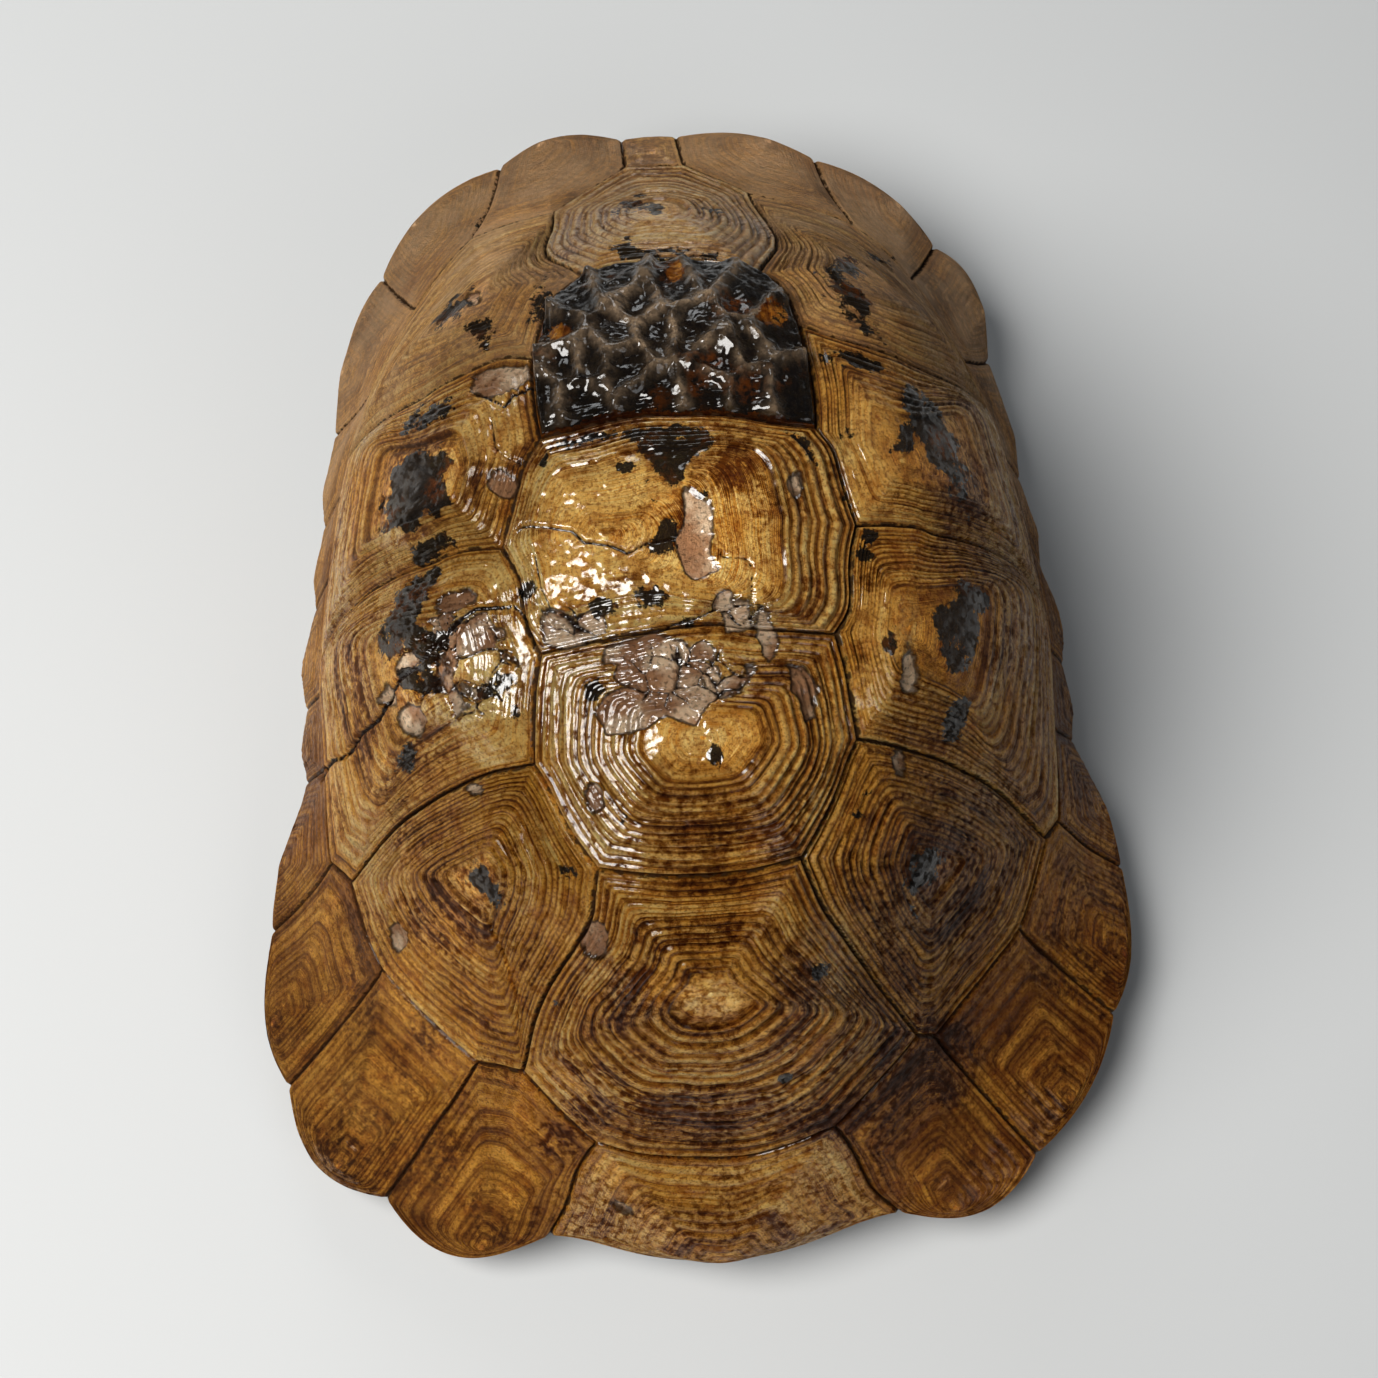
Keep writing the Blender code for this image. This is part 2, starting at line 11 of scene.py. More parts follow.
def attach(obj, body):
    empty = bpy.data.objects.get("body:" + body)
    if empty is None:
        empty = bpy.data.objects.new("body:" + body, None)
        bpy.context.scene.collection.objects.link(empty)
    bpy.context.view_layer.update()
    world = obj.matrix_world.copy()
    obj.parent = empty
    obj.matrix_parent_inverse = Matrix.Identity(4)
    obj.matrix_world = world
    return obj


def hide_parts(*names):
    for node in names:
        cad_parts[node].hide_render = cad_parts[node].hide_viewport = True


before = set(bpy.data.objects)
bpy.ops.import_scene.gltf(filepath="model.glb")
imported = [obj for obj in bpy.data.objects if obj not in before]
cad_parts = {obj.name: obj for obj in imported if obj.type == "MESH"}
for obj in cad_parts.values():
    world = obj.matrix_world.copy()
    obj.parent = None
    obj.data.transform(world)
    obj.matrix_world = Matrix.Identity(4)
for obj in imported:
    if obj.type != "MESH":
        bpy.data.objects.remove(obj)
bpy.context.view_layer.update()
mm = 0.001


# The photo's view: a square picture, its focal length in pixels, and the eye above the tail end
photoView = {
    "pixels": 1378.0,
    "focal": 2500.0,
    "eye": (-5.93, -171.19, 509.46),
    "lookDown": 71.0,
    "turn": 2.561,
    "roll": -1.028,
}


def viewAxes():
    down = math.radians(photoView["lookDown"])
    turn = math.radians(photoView["turn"])
    roll = math.radians(photoView["roll"])
    look = np.array((math.sin(turn) * math.cos(down), math.cos(turn) * math.cos(down), -math.sin(down)))
    level = np.array((math.cos(turn), -math.sin(turn), 0.0))
    lift = np.cross(level, look)
    right = math.cos(roll) * level + math.sin(roll) * lift
    up = math.cos(roll) * lift - math.sin(roll) * level
    return look, right, up


def photoPlace(points):
    look, right, up = viewAxes()
    ray = points - np.array(photoView["eye"])
    depth = ray @ look
    half = photoView["pixels"] / 2
    x = half + photoView["focal"] * (ray @ right) / depth
    y = half - photoView["focal"] * (ray @ up) / depth
    return np.stack((x, y), axis=-1)


# Smooth random values on a lattice, the same each run
def latticeNoise(points, size, seed):
    place = points / size + 31.7 * seed
    cell = np.floor(place).astype(np.int64)
    share = place - cell
    share = share * share * (3 - 2 * share)
    total = np.zeros(len(points))
    for corner in range(8):
        step = np.array((corner & 1, corner >> 1 & 1, corner >> 2 & 1))
        at = (cell + step).astype(np.uint64)
        code = at[:, 0] * np.uint64(73856093) ^ at[:, 1] * np.uint64(19349663) ^ at[:, 2] * np.uint64(83492791)
        code = (code ^ code >> np.uint64(13)) * np.uint64(1274126177)
        value = ((code ^ code >> np.uint64(16)) & np.uint64(65535)) / 32767.5 - 1.0
        weight = np.prod(np.where(step == 1, share, 1 - share), axis=1)
        total += value * weight
    return total


def cloudNoise(points, size, seed, layers=3):
    total = np.zeros(len(points))
    for layer in range(layers):
        total += latticeNoise(points, size / 2**layer, seed + 7 * layer) / 2**layer
    return total / 1.6


def smoothStep(value, low, high):
    share = np.clip((value - low) / (high - low), 0.0, 1.0)
    return share * share * (3 - 2 * share)


# The dome: bearing from the head end, then radius, height and slope at the knee and at the rim
domeForm = {
    "crown": (0.9, -6.5, 114.0),
    "shoulder": 0.60,
    "flank": 0.50,
    "flare": 0.36,
    "stations": (
        (0.0, 108.0, 47.5, 42, 122.0, 40.5, 14),
        (12.0, 104.0, 49.5, 45, 122.5, 38.5, 18),
        (22.5, 103.5, 47.5, 47, 120.0, 33.5, 26),
        (32.0, 97.0, 46.0, 54, 114.5, 28.0, 32),
        (42.0, 89.5, 44.0, 64, 103.0, 22.5, 50),
        (52.5, 83.0, 42.0, 70, 92.0, 18.5, 68),
        (67.0, 76.0, 40.0, 74, 82.5, 17.0, 78),
        (83.0, 73.0, 38.5, 76, 79.3, 17.0, 80),
        (99.0, 73.8, 38.0, 74, 80.2, 17.5, 74),
        (115.0, 78.5, 38.0, 64, 95.5, 15.0, 38),
        (131.0, 82.0, 38.0, 60, 111.5, 12.5, 26),
        (146.0, 85.5, 40.0, 59, 116.0, 12.5, 28),
        (155.0, 88.5, 42.0, 62, 115.0, 12.5, 34),
        (166.0, 93.5, 42.0, 65, 110.5, 14.0, 62),
        (180.0, 93.0, 43.0, 65, 110.5, 13.0, 86),
    ),
}


def stationValues(bearing):
    table = np.array(domeForm["stations"])
    stops, values = table[:, 0], table[:, 1:]
    slopes = np.gradient(values, stops, axis=0)
    slopes[0] = slopes[-1] = 0.0
    folded = np.abs(bearing)
    high = np.clip(np.searchsorted(stops, folded), 1, len(stops) - 1)
    low = high - 1
    span = (stops[high] - stops[low])[:, None]
    u = (folded - stops[low])[:, None] / span
    start = values[low] * (1 + 2 * u) * (1 - u) ** 2 + slopes[low] * span * u * (1 - u) ** 2
    end = values[high] * u**2 * (3 - 2 * u) + slopes[high] * span * u**2 * (u - 1)
    return (start + end).T


def bezier(a, b, c, d, u):
    v = 1 - u
    return v**3 * a + 3 * u * v**2 * b + 3 * u**2 * v * c + u**3 * d


def domePoint(disk):
    crownX, crownY, crownZ = domeForm["crown"]
    bearing = np.degrees(np.arctan2(disk[:, 0], disk[:, 1]))
    reach = np.hypot(disk[:, 0], disk[:, 1])
    kneeR, kneeZ, kneeSlope, rimR, rimZ, rimSlope = stationValues(bearing)
    kneeSlope, rimSlope = np.radians(kneeSlope), np.radians(rimSlope)
    upper = np.hypot(kneeR, crownZ - kneeZ)
    lower = np.hypot(rimR - kneeR, kneeZ - rimZ)
    knee = upper / (upper + lower)
    flank, flare = domeForm["flank"] * upper, domeForm["flare"] * lower
    u = np.clip(reach / knee, 0, 1)
    v = np.clip((reach - knee) / (1 - knee), 0, 1)
    topR = bezier(0, domeForm["shoulder"] * kneeR, kneeR - flank * np.cos(kneeSlope), kneeR, u)
    topZ = bezier(crownZ, crownZ, kneeZ + flank * np.sin(kneeSlope), kneeZ, u)
    skirtR = bezier(kneeR, kneeR + flare * np.cos(kneeSlope), rimR - flare * np.cos(rimSlope), rimR, v)
    skirtZ = bezier(kneeZ, kneeZ - flare * np.sin(kneeSlope), rimZ + flare * np.sin(rimSlope), rimZ, v)
    beyond = np.maximum(reach - 1, 0) * (upper + lower)
    radius = np.where(reach < knee, topR, skirtR) + beyond * np.cos(rimSlope)
    height = np.where(reach < knee, topZ, skirtZ) - beyond * np.sin(rimSlope)
    angle = np.radians(bearing)
    return np.stack((crownX + radius * np.sin(angle), crownY + radius * np.cos(angle), height), axis=1)


def domeNormal(disk):
    nudge = 0.004
    across = domePoint(disk + (nudge, 0)) - domePoint(disk - (nudge, 0))
    along = domePoint(disk + (0, nudge)) - domePoint(disk - (0, nudge))
    normal = np.cross(across, along)
    return normal / np.linalg.norm(normal, axis=1)[:, None]


def onDisk(bearing, reach):
    angle = math.radians(bearing)
    return np.array((reach * math.sin(angle), reach * math.cos(angle)))


# Where three scutes meet: bearing and reach on the left, then on the right
junctions = {
    "nuchalRear": ((3.0, 0.936), (3.3, 0.932)),
    "v1Front": ((12.3, 0.824), (11.0, 0.844)),
    "v1v2": ((14.3, 0.454), (16.7, 0.428)),
    "v2Side": ((33.0, 0.300), (29.0, 0.318)),
    "v2v3": ((49.0, 0.200), (51.3, 0.202)),
    "v3Side": ((87.7, 0.238), (87.0, 0.226)),
    "v3v4": ((126.0, 0.208), (125.7, 0.202)),
    "v4Side": ((142.3, 0.316), (141.7, 0.310)),
    "v4v5": ((161.7, 0.386), (162.7, 0.384)),
    "v5Side": ((155.7, 0.720), (153.0, 0.720)),
    "v5Tail": ((166.3, 0.796), (166.3, 0.792)),
    "m1m2": ((22.0, 0.852), (23.3, 0.840)),
    "m2m3": ((32.3, 0.810), (32.3, 0.822)),
    "m3m4": ((44.0, 0.812), (44.0, 0.815)),
    "c1c2": ((53.0, 0.812), (52.7, 0.818)),
    "m4m5": ((58.0, 0.815), (58.0, 0.818)),
    "m5m6": ((70.0, 0.822), (70.0, 0.824)),
    "c2c3": ((84.0, 0.826), (82.7, 0.830)),
    "m6m7": ((89.0, 0.830), (88.5, 0.830)),
    "m7m8": ((102.0, 0.812), (103.0, 0.806)),
    "m8m9": ((115.3, 0.798), (116.0, 0.792)),
    "c3c4": ((120.3, 0.754), (120.0, 0.758)),
    "m9m10": ((131.7, 0.752), (132.0, 0.740)),
    "m10m11": ((149.7, 0.741), (150.7, 0.737)),
}
notches = {
    "nuchal": ((3.0, 1.0), (2.5, 1.0)),
    "m1m2": ((15.5, 1.012), (16.7, 1.0)),
    "m2m3": ((31.3, 1.0), (31.3, 1.0)),
    "m3m4": ((47.3, 1.0), (43.5, 0.998)),
    "m4m5": ((58.5, 1.0), (57.5, 1.0)),
    "m5m6": ((70.6, 1.0), (70.6, 1.0)),
    "m6m7": ((86.5, 1.0), (86.5, 1.0)),
    "m7m8": ((98.0, 1.0), (98.7, 1.0)),
    "m8m9": ((115.3, 1.0), (114.0, 1.0)),
    "m9m10": ((130.7, 0.996), (130.0, 0.968)),
    "m10m11": ((145.7, 0.998), (146.3, 0.988)),
    "tail": ((162.5, 0.985), (161.5, 0.985)),
}

# Points that bend a seam between its two junctions, as bearing and reach on the right
seamBends = {
    ("v1Front", "v1v2"): ((16.8, 0.635),),
    ("v1v2", "v1v2"): ((-8.5, 0.464), (7.0, 0.456)),
    ("v1v2", "v2Side"): ((21.5, 0.400),),
    ("v2Side", "v2v3"): ((40.0, 0.244),),
    ("v2v3", "v2v3"): ((-29.5, 0.135), (0.0, 0.116), (30.5, 0.133)),
    ("v2v3", "v3Side"): ((63.5, 0.215),),
    ("v3Side", "v3v4"): ((102.0, 0.214), (115.5, 0.216)),
    ("v3v4", "v3v4"): ((-141.5, 0.132), (176.0, 0.086), (142.0, 0.127)),
    ("v4v5", "v4v5"): ((180.0, 0.375),),
    ("v4v5", "v5Side"): ((162.0, 0.458), (160.3, 0.509), (156.5, 0.620)),
    ("v5Tail", "v5Tail"): ((-172.0, 0.801), (176.0, 0.805)),
    ("v2Side", "c1c2"): ((37.5, 0.352), (45.5, 0.425), (51.0, 0.530)),
    ("v3Side", "c2c3"): ((86.0, 0.329), (86.3, 0.424)),
    ("v4Side", "c3c4"): ((132.5, 0.400), (126.0, 0.511), (122.6, 0.609)),
    ("v5Tail", "tail"): ((164.6, 0.853), (163.6, 0.932)),
}

# Growth of each kind of scute: its centre on the left and right, how many rings, the share that the first year's plate
# takes, how high the horn climbs, how golden its rings are, how dusty it looks (partly painted light on the head-end
# scutes) and how much painted light it takes towards the head end
scuteGrowth = {
    "vertebral1": {"seams": ("nuchalRear", "v1Front", "v1v2"), "centre": ((0.0, 0.700),), "rings": 11,
                   "heart": 0.26, "lift": 2.6, "gold": 1.05, "dull": 0.55, "step": 0.36},
    "vertebral2": {"seams": ("v1v2", "v2Side", "v2v3"), "centre": ((0.0, 0.222),), "rings": 7,
                   "heart": 0.62, "lift": 2.2, "gold": 0.26, "dull": 0.0, "step": 0.36, "fine": True},
    "vertebral3": {"seams": ("v2v3", "v3Side", "v3v4"), "centre": ((-97.0, 0.090),), "rings": 8,
                   "heart": 0.66, "lift": 2.8, "gold": 1.16, "dull": 0.0, "step": 0.36, "fine": True},
    "vertebral4": {"seams": ("v3v4", "v4Side", "v4v5"), "centre": ((178.0, 0.202),), "rings": 13,
                   "heart": 0.30, "lift": 2.8, "gold": 0.98, "dull": 0.0, "step": 0.36, "fine": True},
    "vertebral5": {"seams": ("v4v5", "v5Side", "v5Tail"), "centre": ((180.0, 0.530),), "rings": 17,
                   "heart": 0.19, "lift": 2.9, "gold": 0.84, "dull": 0.0, "step": 0.47, "fine": True},
    "costal1": {"seams": ("v1v2", "v1Front", "m1m2", "m2m3", "m3m4", "c1c2", "v2Side"),
                "centre": ((31.5, 0.500), (31.0, 0.530)), "rings": 15,
                "heart": 0.26, "lift": 2.8, "gold": 0.84, "dull": 0.28, "haze": 0.55},
    "costal2": {"seams": ("v2Side", "c1c2", "m4m5", "m5m6", "c2c3", "v3Side", "v2v3"),
                "centre": ((68.2, 0.345), (70.0, 0.305)), "rings": 12,
                "heart": 0.38, "lift": 2.9, "gold": 0.84, "dull": 0.05, "haze": 0.16},
    "costal3": {"seams": ("v3Side", "c2c3", "m6m7", "m7m8", "m8m9", "c3c4", "v4Side", "v3v4"),
                "centre": ((112.0, 0.352), (114.5, 0.300)), "rings": 13,
                "heart": 0.36, "lift": 2.9, "gold": 0.80, "dull": 0.02},
    "costal4": {"seams": ("v4Side", "c3c4", "m9m10", "m10m11", "v5Side", "v4v5"),
                "centre": ((142.5, 0.489), (143.0, 0.525)), "rings": 17,
                "heart": 0.22, "lift": 2.9, "gold": 0.76, "dull": 0.0},
}

# Along the rim: upper junctions, first and last notch, and how far the edge swells left and right
marginalRow = (
    (("nuchalRear", "v1Front", "m1m2"), "nuchal", "m1m2", (3.4, 1.8)),
    (("m1m2", "m2m3"), "m1m2", "m2m3", (3.8, 2.4)),
    (("m2m3", "m3m4"), "m2m3", "m3m4", (2.8, 7.2)),
    (("m3m4", "c1c2", "m4m5"), "m3m4", "m4m5", (1.0, 1.2)),
    (("m4m5", "m5m6"), "m4m5", "m5m6", (0.8, 0.8)),
    (("m5m6", "c2c3", "m6m7"), "m5m6", "m6m7", (0.8, 0.8)),
    (("m6m7", "m7m8"), "m6m7", "m7m8", (0.8, 0.8)),
    (("m7m8", "m8m9"), "m7m8", "m8m9", (1.4, 1.6)),
    (("m8m9", "c3c4", "m9m10"), "m8m9", "m9m10", (2.2, 1.4)),
    (("m9m10", "m10m11"), "m9m10", "m10m11", (4.4, 0.6)),
    (("m10m11", "v5Side", "v5Tail"), "m10m11", "tail", (6.0, 4.4)),
)
marginalGrowth = {"step": 0.68, "rings": 12, "heart": 0.08, "lift": 1.3, "gold": 0.55, "dull": 0.02, "haze": 0.95, "show": 0.60,
                  "rays": 0.2}
nuchalGrowth = {"rings": 3, "heart": 0.35, "lift": 0.5, "gold": 1.00, "dull": 0.70, "show": 0.4, "rays": 0.2, "swell": 0.5}
tailGrowth = {"rings": 12, "heart": 0.12, "lift": 2.0, "gold": 0.92, "dull": 0.0, "show": 0.55, "swell": 7.8,
              "centre": (180.0, 0.985)}

horn = {
    "rowStep": 0.66,
    "fit": 0.9985,
    "seamStep": 0.80,
    "seamDepth": 0.60,
    "seamWidth": 0.36,
    "thickness": 1.2,
    "rimLip": 2.2,
    "ridge": 0.18,
    "groove": 0.52,
    "rounding": 0.075,
    "wander": 0.0035,
}


# Seams and outlines

def smoothPath(stops, count):
    stops = np.array(stops)
    padded = np.vstack((2 * stops[0] - stops[1], stops, 2 * stops[-1] - stops[-2]))
    place = (len(stops) - 1) * np.arange(count) / count
    i = np.minimum(place.astype(int), len(stops) - 2)
    u = (place - i)[:, None]
    a, b, c, d = padded[i], padded[i + 1], padded[i + 2], padded[i + 3]
    return 0.5 * (2 * b + (c - a) * u + (2 * a - 5 * b + 4 * c - d) * u**2 + (3 * b - a - 3 * c + d) * u**3)


def runCount(points, step):
    return max(2, round(np.linalg.norm(np.diff(points, axis=0), axis=1).sum() / step))


def junctionAt(name, side):
    bearing, reach = junctions[name][0 if side < 0 else 1]
    return onDisk(side * bearing, reach)


def notchAt(name, side):
    bearing, reach = notches[name][0 if side < 0 else 1]
    return onDisk(side * bearing, reach)


def bendsBetween(first, last, side):
    if (first, last) in seamBends:
        return [onDisk(side * bearing, reach) for bearing, reach in seamBends[first, last]]
    if (last, first) in seamBends:
        return [onDisk(side * bearing, reach) for bearing, reach in reversed(seamBends[last, first])]
    return []


def seamRun(start, middle, end):
    stops = [start, *middle, end]
    return smoothPath(stops, runCount(domePoint(np.array(stops)), horn["seamStep"]))


def seamChain(names, side):
    return [seamRun(junctionAt(a, side), bendsBetween(a, b, side), junctionAt(b, side))
            for a, b in zip(names, names[1:])]


def reverseRun(run, end):
    return np.vstack((end, run[:0:-1]))


def acrossRun(name):
    return seamRun(junctionAt(name, -1), bendsBetween(name, name, 1), junctionAt(name, 1))


def rimRun(first, last, swell, power=1):
    start = math.degrees(math.atan2(*first))
    end = math.degrees(math.atan2(*last))
    turn = (end - start + 180) % 360 - 180
    corners = domePoint(np.array((first, last)))
    count = runCount(corners, horn["seamStep"])
    size = np.linalg.norm(corners[0] - domeForm["crown"])
    share = np.arange(count) / count
    base = math.hypot(*first) * (1 - share) + math.hypot(*last) * share
    reach = base + swell / size * np.sin(math.pi * share) ** power
    angle = np.radians(start + turn * share)
    return np.stack((reach * np.sin(angle), reach * np.cos(angle)), axis=1)


def largeOutline(names, side):
    runs = seamChain(names, side)
    runs.append(seamRun(junctionAt(names[-1], side), bendsBetween(names[-1], names[0], side), junctionAt(names[0], side)))
    return np.vstack(runs)


def vertebralOutline(names):
    right = seamChain(names, 1)
    left = [reverseRun(run, junctionAt(name, -1)) for run, name in zip(seamChain(names, -1), names[1:])]
    bottom = reverseRun(acrossRun(names[-1]), junctionAt(names[-1], 1))
    return np.vstack((acrossRun(names[0]), *right, bottom, *reversed(left)))


# Marks on the horn, in pixels of the photo: spots are x, y, half width, half height and tilt
marks = {
    "char": {
        "spots": (
            (633, 217, 18, 7, -15), (658, 222, 8, 3, 0), (628, 254, 7, 6, 0), (662, 256, 42, 5, 3), (704, 220, 9, 3, 0),
            (486, 341, 13, 8, -30), (539, 309, 7, 24, 25), (466, 320, 24, 10, -38), (479, 222, 6, 4, -50),
            (841, 281, 20, 9, 20), (880, 262, 14, 6, 20), (435, 421, 27, 13, -25), (458, 509, 8, 8, 0),
            (626, 475, 8, 8, 0), (648, 492, 7, 9, 20), (655, 509, 4, 4, 0), (701, 503, 9, 7, -20), (670, 537, 8, 12, 0),
            (659, 553, 14, 8, -10), (688, 568, 3, 3, 0), (607, 610, 14, 8, 10), (653, 603, 18, 11, 0),
            (686, 623, 12, 5, -10), (530, 593, 12, 15, 20), (598, 691, 14, 13, 0), (524, 714, 8, 5, 0),
            (716, 755, 6, 9, 10), (624, 822, 5, 4, 0), (569, 870, 9, 6, 20), (852, 814, 6, 5, 0), (865, 793, 4, 5, 0),
            (414, 756, 10, 16, 0), (490, 874, 18, 12, 50), (505, 890, 16, 8, 60), (912, 862, 28, 14, -50), (926, 447, 66, 17, 63), (846, 310, 38, 12, 45),
            (869, 538, 7, 8, 0), (862, 558, 5, 5, 0), (895, 446, 9, 14, 20), (846, 440, 6, 7, 0), (880, 642, 6, 8, 0),
            (852, 364, 30, 9, 20), (944, 632, 20, 40, 0), (956, 598, 24, 10, 30), (948, 714, 12, 24, 0),
            (785, 1072, 7, 6, -30), (815, 967, 10, 4, -30), (900, 905, 5, 9, -30), (560, 1000, 4, 4, 0),
            (448, 640, 10, 22, 30), (845, 500, 5, 5, 0),
        ),
        "patches": (
            ((405, 474), (437, 452), (455, 443), (463, 465), (453, 479), (461, 495), (466, 508), (451, 524),
             (437, 513), (426, 535), (394, 540), (394, 509), (402, 495)),
            ((411, 563), (428, 539), (452, 533), (455, 539), (445, 553), (418, 568)),
            ((398, 595), (416, 577), (443, 570), (448, 581), (434, 590), (432, 609), (434, 625), (440, 642),
             (423, 654), (403, 660), (392, 650), (396, 630), (401, 609)),
            ((488, 697), (490, 682), (504, 672), (520, 676), (516, 690), (506, 704)),
            ((620, 430), (705, 430), (716, 445), (701, 459), (686, 470), (683, 485), (672, 496), (664, 492),
             (655, 481), (650, 467), (635, 452), (620, 445)),
            ((543, 468), (550, 450), (572, 441), (620, 434), (622, 441), (577, 449), (556, 456), (549, 470)),
            ((784, 433), (800, 441), (815, 459), (818, 474), (808, 470), (797, 452)),
        ),
    },
    "flake": {
        "spots": (
            (479, 309, 7, 5, -20), (794, 487, 9, 12, 10), (465, 603, 17, 11, -20), (596, 797, 9, 14, 0),
            (713, 390, 17, 6, 10), (596, 940, 15, 17, 0), (400, 936, 9, 14, 20), (900, 672, 8, 22, -10),
            (898, 760, 7, 14, 0), (426, 718, 14, 13, 40), (620, 1205, 9, 5, 30), (475, 790, 7, 5, 0), (505, 486, 14, 13, 20),
            (414, 666, 6, 7, 0),
        ),
        "patches": (
            ((474, 377), (499, 367), (530, 363), (535, 377), (519, 391), (499, 400), (475, 394)),
            ((448, 651), (460, 628), (490, 612), (498, 625), (482, 650), (458, 659)),
            ((391, 700), (400, 681), (411, 692), (408, 706)),
            ((686, 496), (708, 509), (712, 520), (712, 557), (714, 577), (697, 582), (686, 577), (677, 557),
             (672, 544), (683, 529), (686, 518)),
            ((545, 625), (552, 612), (568, 614), (578, 632), (583, 643), (565, 649), (545, 645)),
            ((719, 604), (748, 602), (752, 628), (726, 632)),
            ((752, 610), (766, 616), (776, 645), (768, 666), (758, 640)),
            ((606, 647), (631, 641), (657, 636), (683, 641), (697, 658), (701, 680), (708, 702), (694, 724),
             (668, 717), (646, 731), (613, 735), (598, 713), (609, 702), (628, 687), (617, 665), (602, 665)),
            ((701, 665), (717, 668), (721, 700), (706, 690)),
            ((784, 665), (800, 669), (815, 687), (811, 720), (800, 724), (789, 694)),
        ),
    },
    "gold": {
        "spots": (
            (670, 240, 38, 14, 0), (559, 337, 14, 10, 0), (676, 279, 10, 10, 0), (771, 323, 17, 14, 0),
            (500, 430, 30, 34, 0), (416, 540, 24, 10, -10), (480, 585, 36, 20, -10), (590, 490, 60, 36, 0),
            (620, 585, 88, 42, 5), (700, 735, 54, 26, 0), (500, 734, 36, 34, 0), (712, 985, 34, 22, 0),
            (866, 450, 26, 70, 0), (880, 625, 30, 34, 0), (868, 690, 20, 30, 0), (530, 640, 14, 24, 0), (528, 560, 18, 20, 0),
            (735, 580, 24, 22, 0),
        ),
        "patches": (),
    },
    "dark": {
        "spots": (
            (730, 470, 22, 24, 0), (760, 540, 14, 30, 0), (706, 820, 70, 34, 0), (690, 762, 16, 10, 0), (625, 985, 26, 40, 0),
            (712, 930, 70, 14, 0), (790, 985, 26, 46, 0), (470, 900, 60, 44, -30), (920, 880, 60, 60, 0),
            (590, 1060, 60, 12, 20), (560, 1140, 40, 22, 0), (362, 700, 34, 60, 0), (710, 1112, 150, 24, 0), (955, 500, 20, 40, 0),
            (455, 690, 22, 44, 20), (425, 440, 40, 24, -20), (420, 500, 34, 50, 0), (560, 640, 30, 20, 0),
            (690, 530, 16, 40, 0), (900, 290, 60, 30, 25), (560, 290, 20, 40, 20), (930, 1060, 60, 50, 0),
            (640, 850, 40, 20, 0), (780, 840, 30, 20, 0),
        ),
        "patches": (),
    },
}
cracks = (
    (2.1, ((516, 607), (482, 610), (465, 624), (442, 648), (431, 664), (411, 678), (403, 691), (391, 715),
           (371, 732), (350, 756), (333, 761), (322, 778))),
    (1.3, ((396, 502), (392, 520), (390, 536))),
    (1.0, ((496, 424), (498, 449), (505, 456), (521, 466))),
    (1.8, ((476, 396), (492, 402), (506, 408), (512, 398), (534, 384))),
    (1.2, ((517, 535), (525, 529), (558, 533), (574, 536), (587, 547), (609, 549), (628, 557), (644, 549), (672, 544))),
    (0.9, ((719, 558), (724, 562), (745, 563), (750, 573), (749, 602), (751, 624))),
    (1.1, ((602, 643), (631, 636), (661, 632), (672, 625), (701, 617), (716, 612))),
    (1.0, ((540, 560), (545, 590), (556, 612))),
    (0.4, ((519, 1065), (520, 1000), (514, 950), (500, 915))),
    (1.4, ((516, 607), (528, 622), (533, 650))),
)

# The lumps of the second vertebral scute, where the photo shows each one
lumpCentres = (
    (621, 284), (672, 294), (711, 272), (742, 297), (574, 302), (559, 337), (621, 339), (655, 336), (693, 334),
    (628, 368), (721, 366), (569, 368), (578, 403), (655, 402), (708, 393), (771, 337), (751, 395), (784, 392),
    (548, 402), (590, 366), (745, 352), (640, 308),
)


# Where the horn has broken into small pieces, between the third and fourth vertebral scutes and left of them
shatter = {
    "spots": ((682, 676, 82, 42, 0), (468, 668, 62, 60, -25), (575, 622, 66, 22, 4), (738, 612, 40, 22, 10)),
    "low": (380, 590),
    "high": (780, 770),
    "cells": 125,
    "seed": 8,
    "flaked": 0.46,
    "charred": 0.09,
    "golden": 0.80,
    "drop": 0.50,
    "crack": 0.9,
}


def shatterCells(pixels):
    random = np.random.default_rng(shatter["seed"])
    cells = shatter["cells"]
    centres = random.uniform(shatter["low"], shatter["high"], (cells, 2))
    lot, drop = random.random(cells), random.uniform(-1, 1, cells)
    zone = np.full(len(pixels), -20.0)
    for spot in shatter["spots"]:
        zone = np.maximum(zone, spotField(pixels, spot))
    zone = smoothStep(zone, -2.0, 12.0)
    near = np.flatnonzero(zone > 0)
    found = {name: np.full(len(pixels), -16.0) for name in ("flake", "char", "gold", "crack")}
    # The zone's share is also used to paint a highlight into the horn's colour
    found["drop"], found["paintedGlare"] = np.zeros(len(pixels)), zone
    if len(near) == 0:
        return found
    gaps = np.linalg.norm(pixels[near, None, :] - centres[None], axis=2)
    order = np.argsort(gaps, axis=1)
    first = order[:, 0]
    rows = np.arange(len(near))
    edge = (gaps[rows, order[:, 1]] - gaps[rows, first]) / 2
    loss = 14 * (1 - zone[near])
    flaked = lot[first] < shatter["flaked"]
    charred = lot[first] > 1 - shatter["charred"]
    golden = (lot[first] < shatter["golden"]) & ~flaked
    found["flake"][near] = np.where(flaked, edge, -16.0) - loss
    found["char"][near] = np.where(charred, edge + 3, -16.0) - loss
    found["gold"][near] = np.where(golden, edge + 4, -16.0) - loss
    found["crack"][near] = shatter["crack"] - edge * 1.2 - loss
    found["drop"][near] = drop[first] * smoothStep(edge, 0.0, 1.5) * zone[near]
    return found


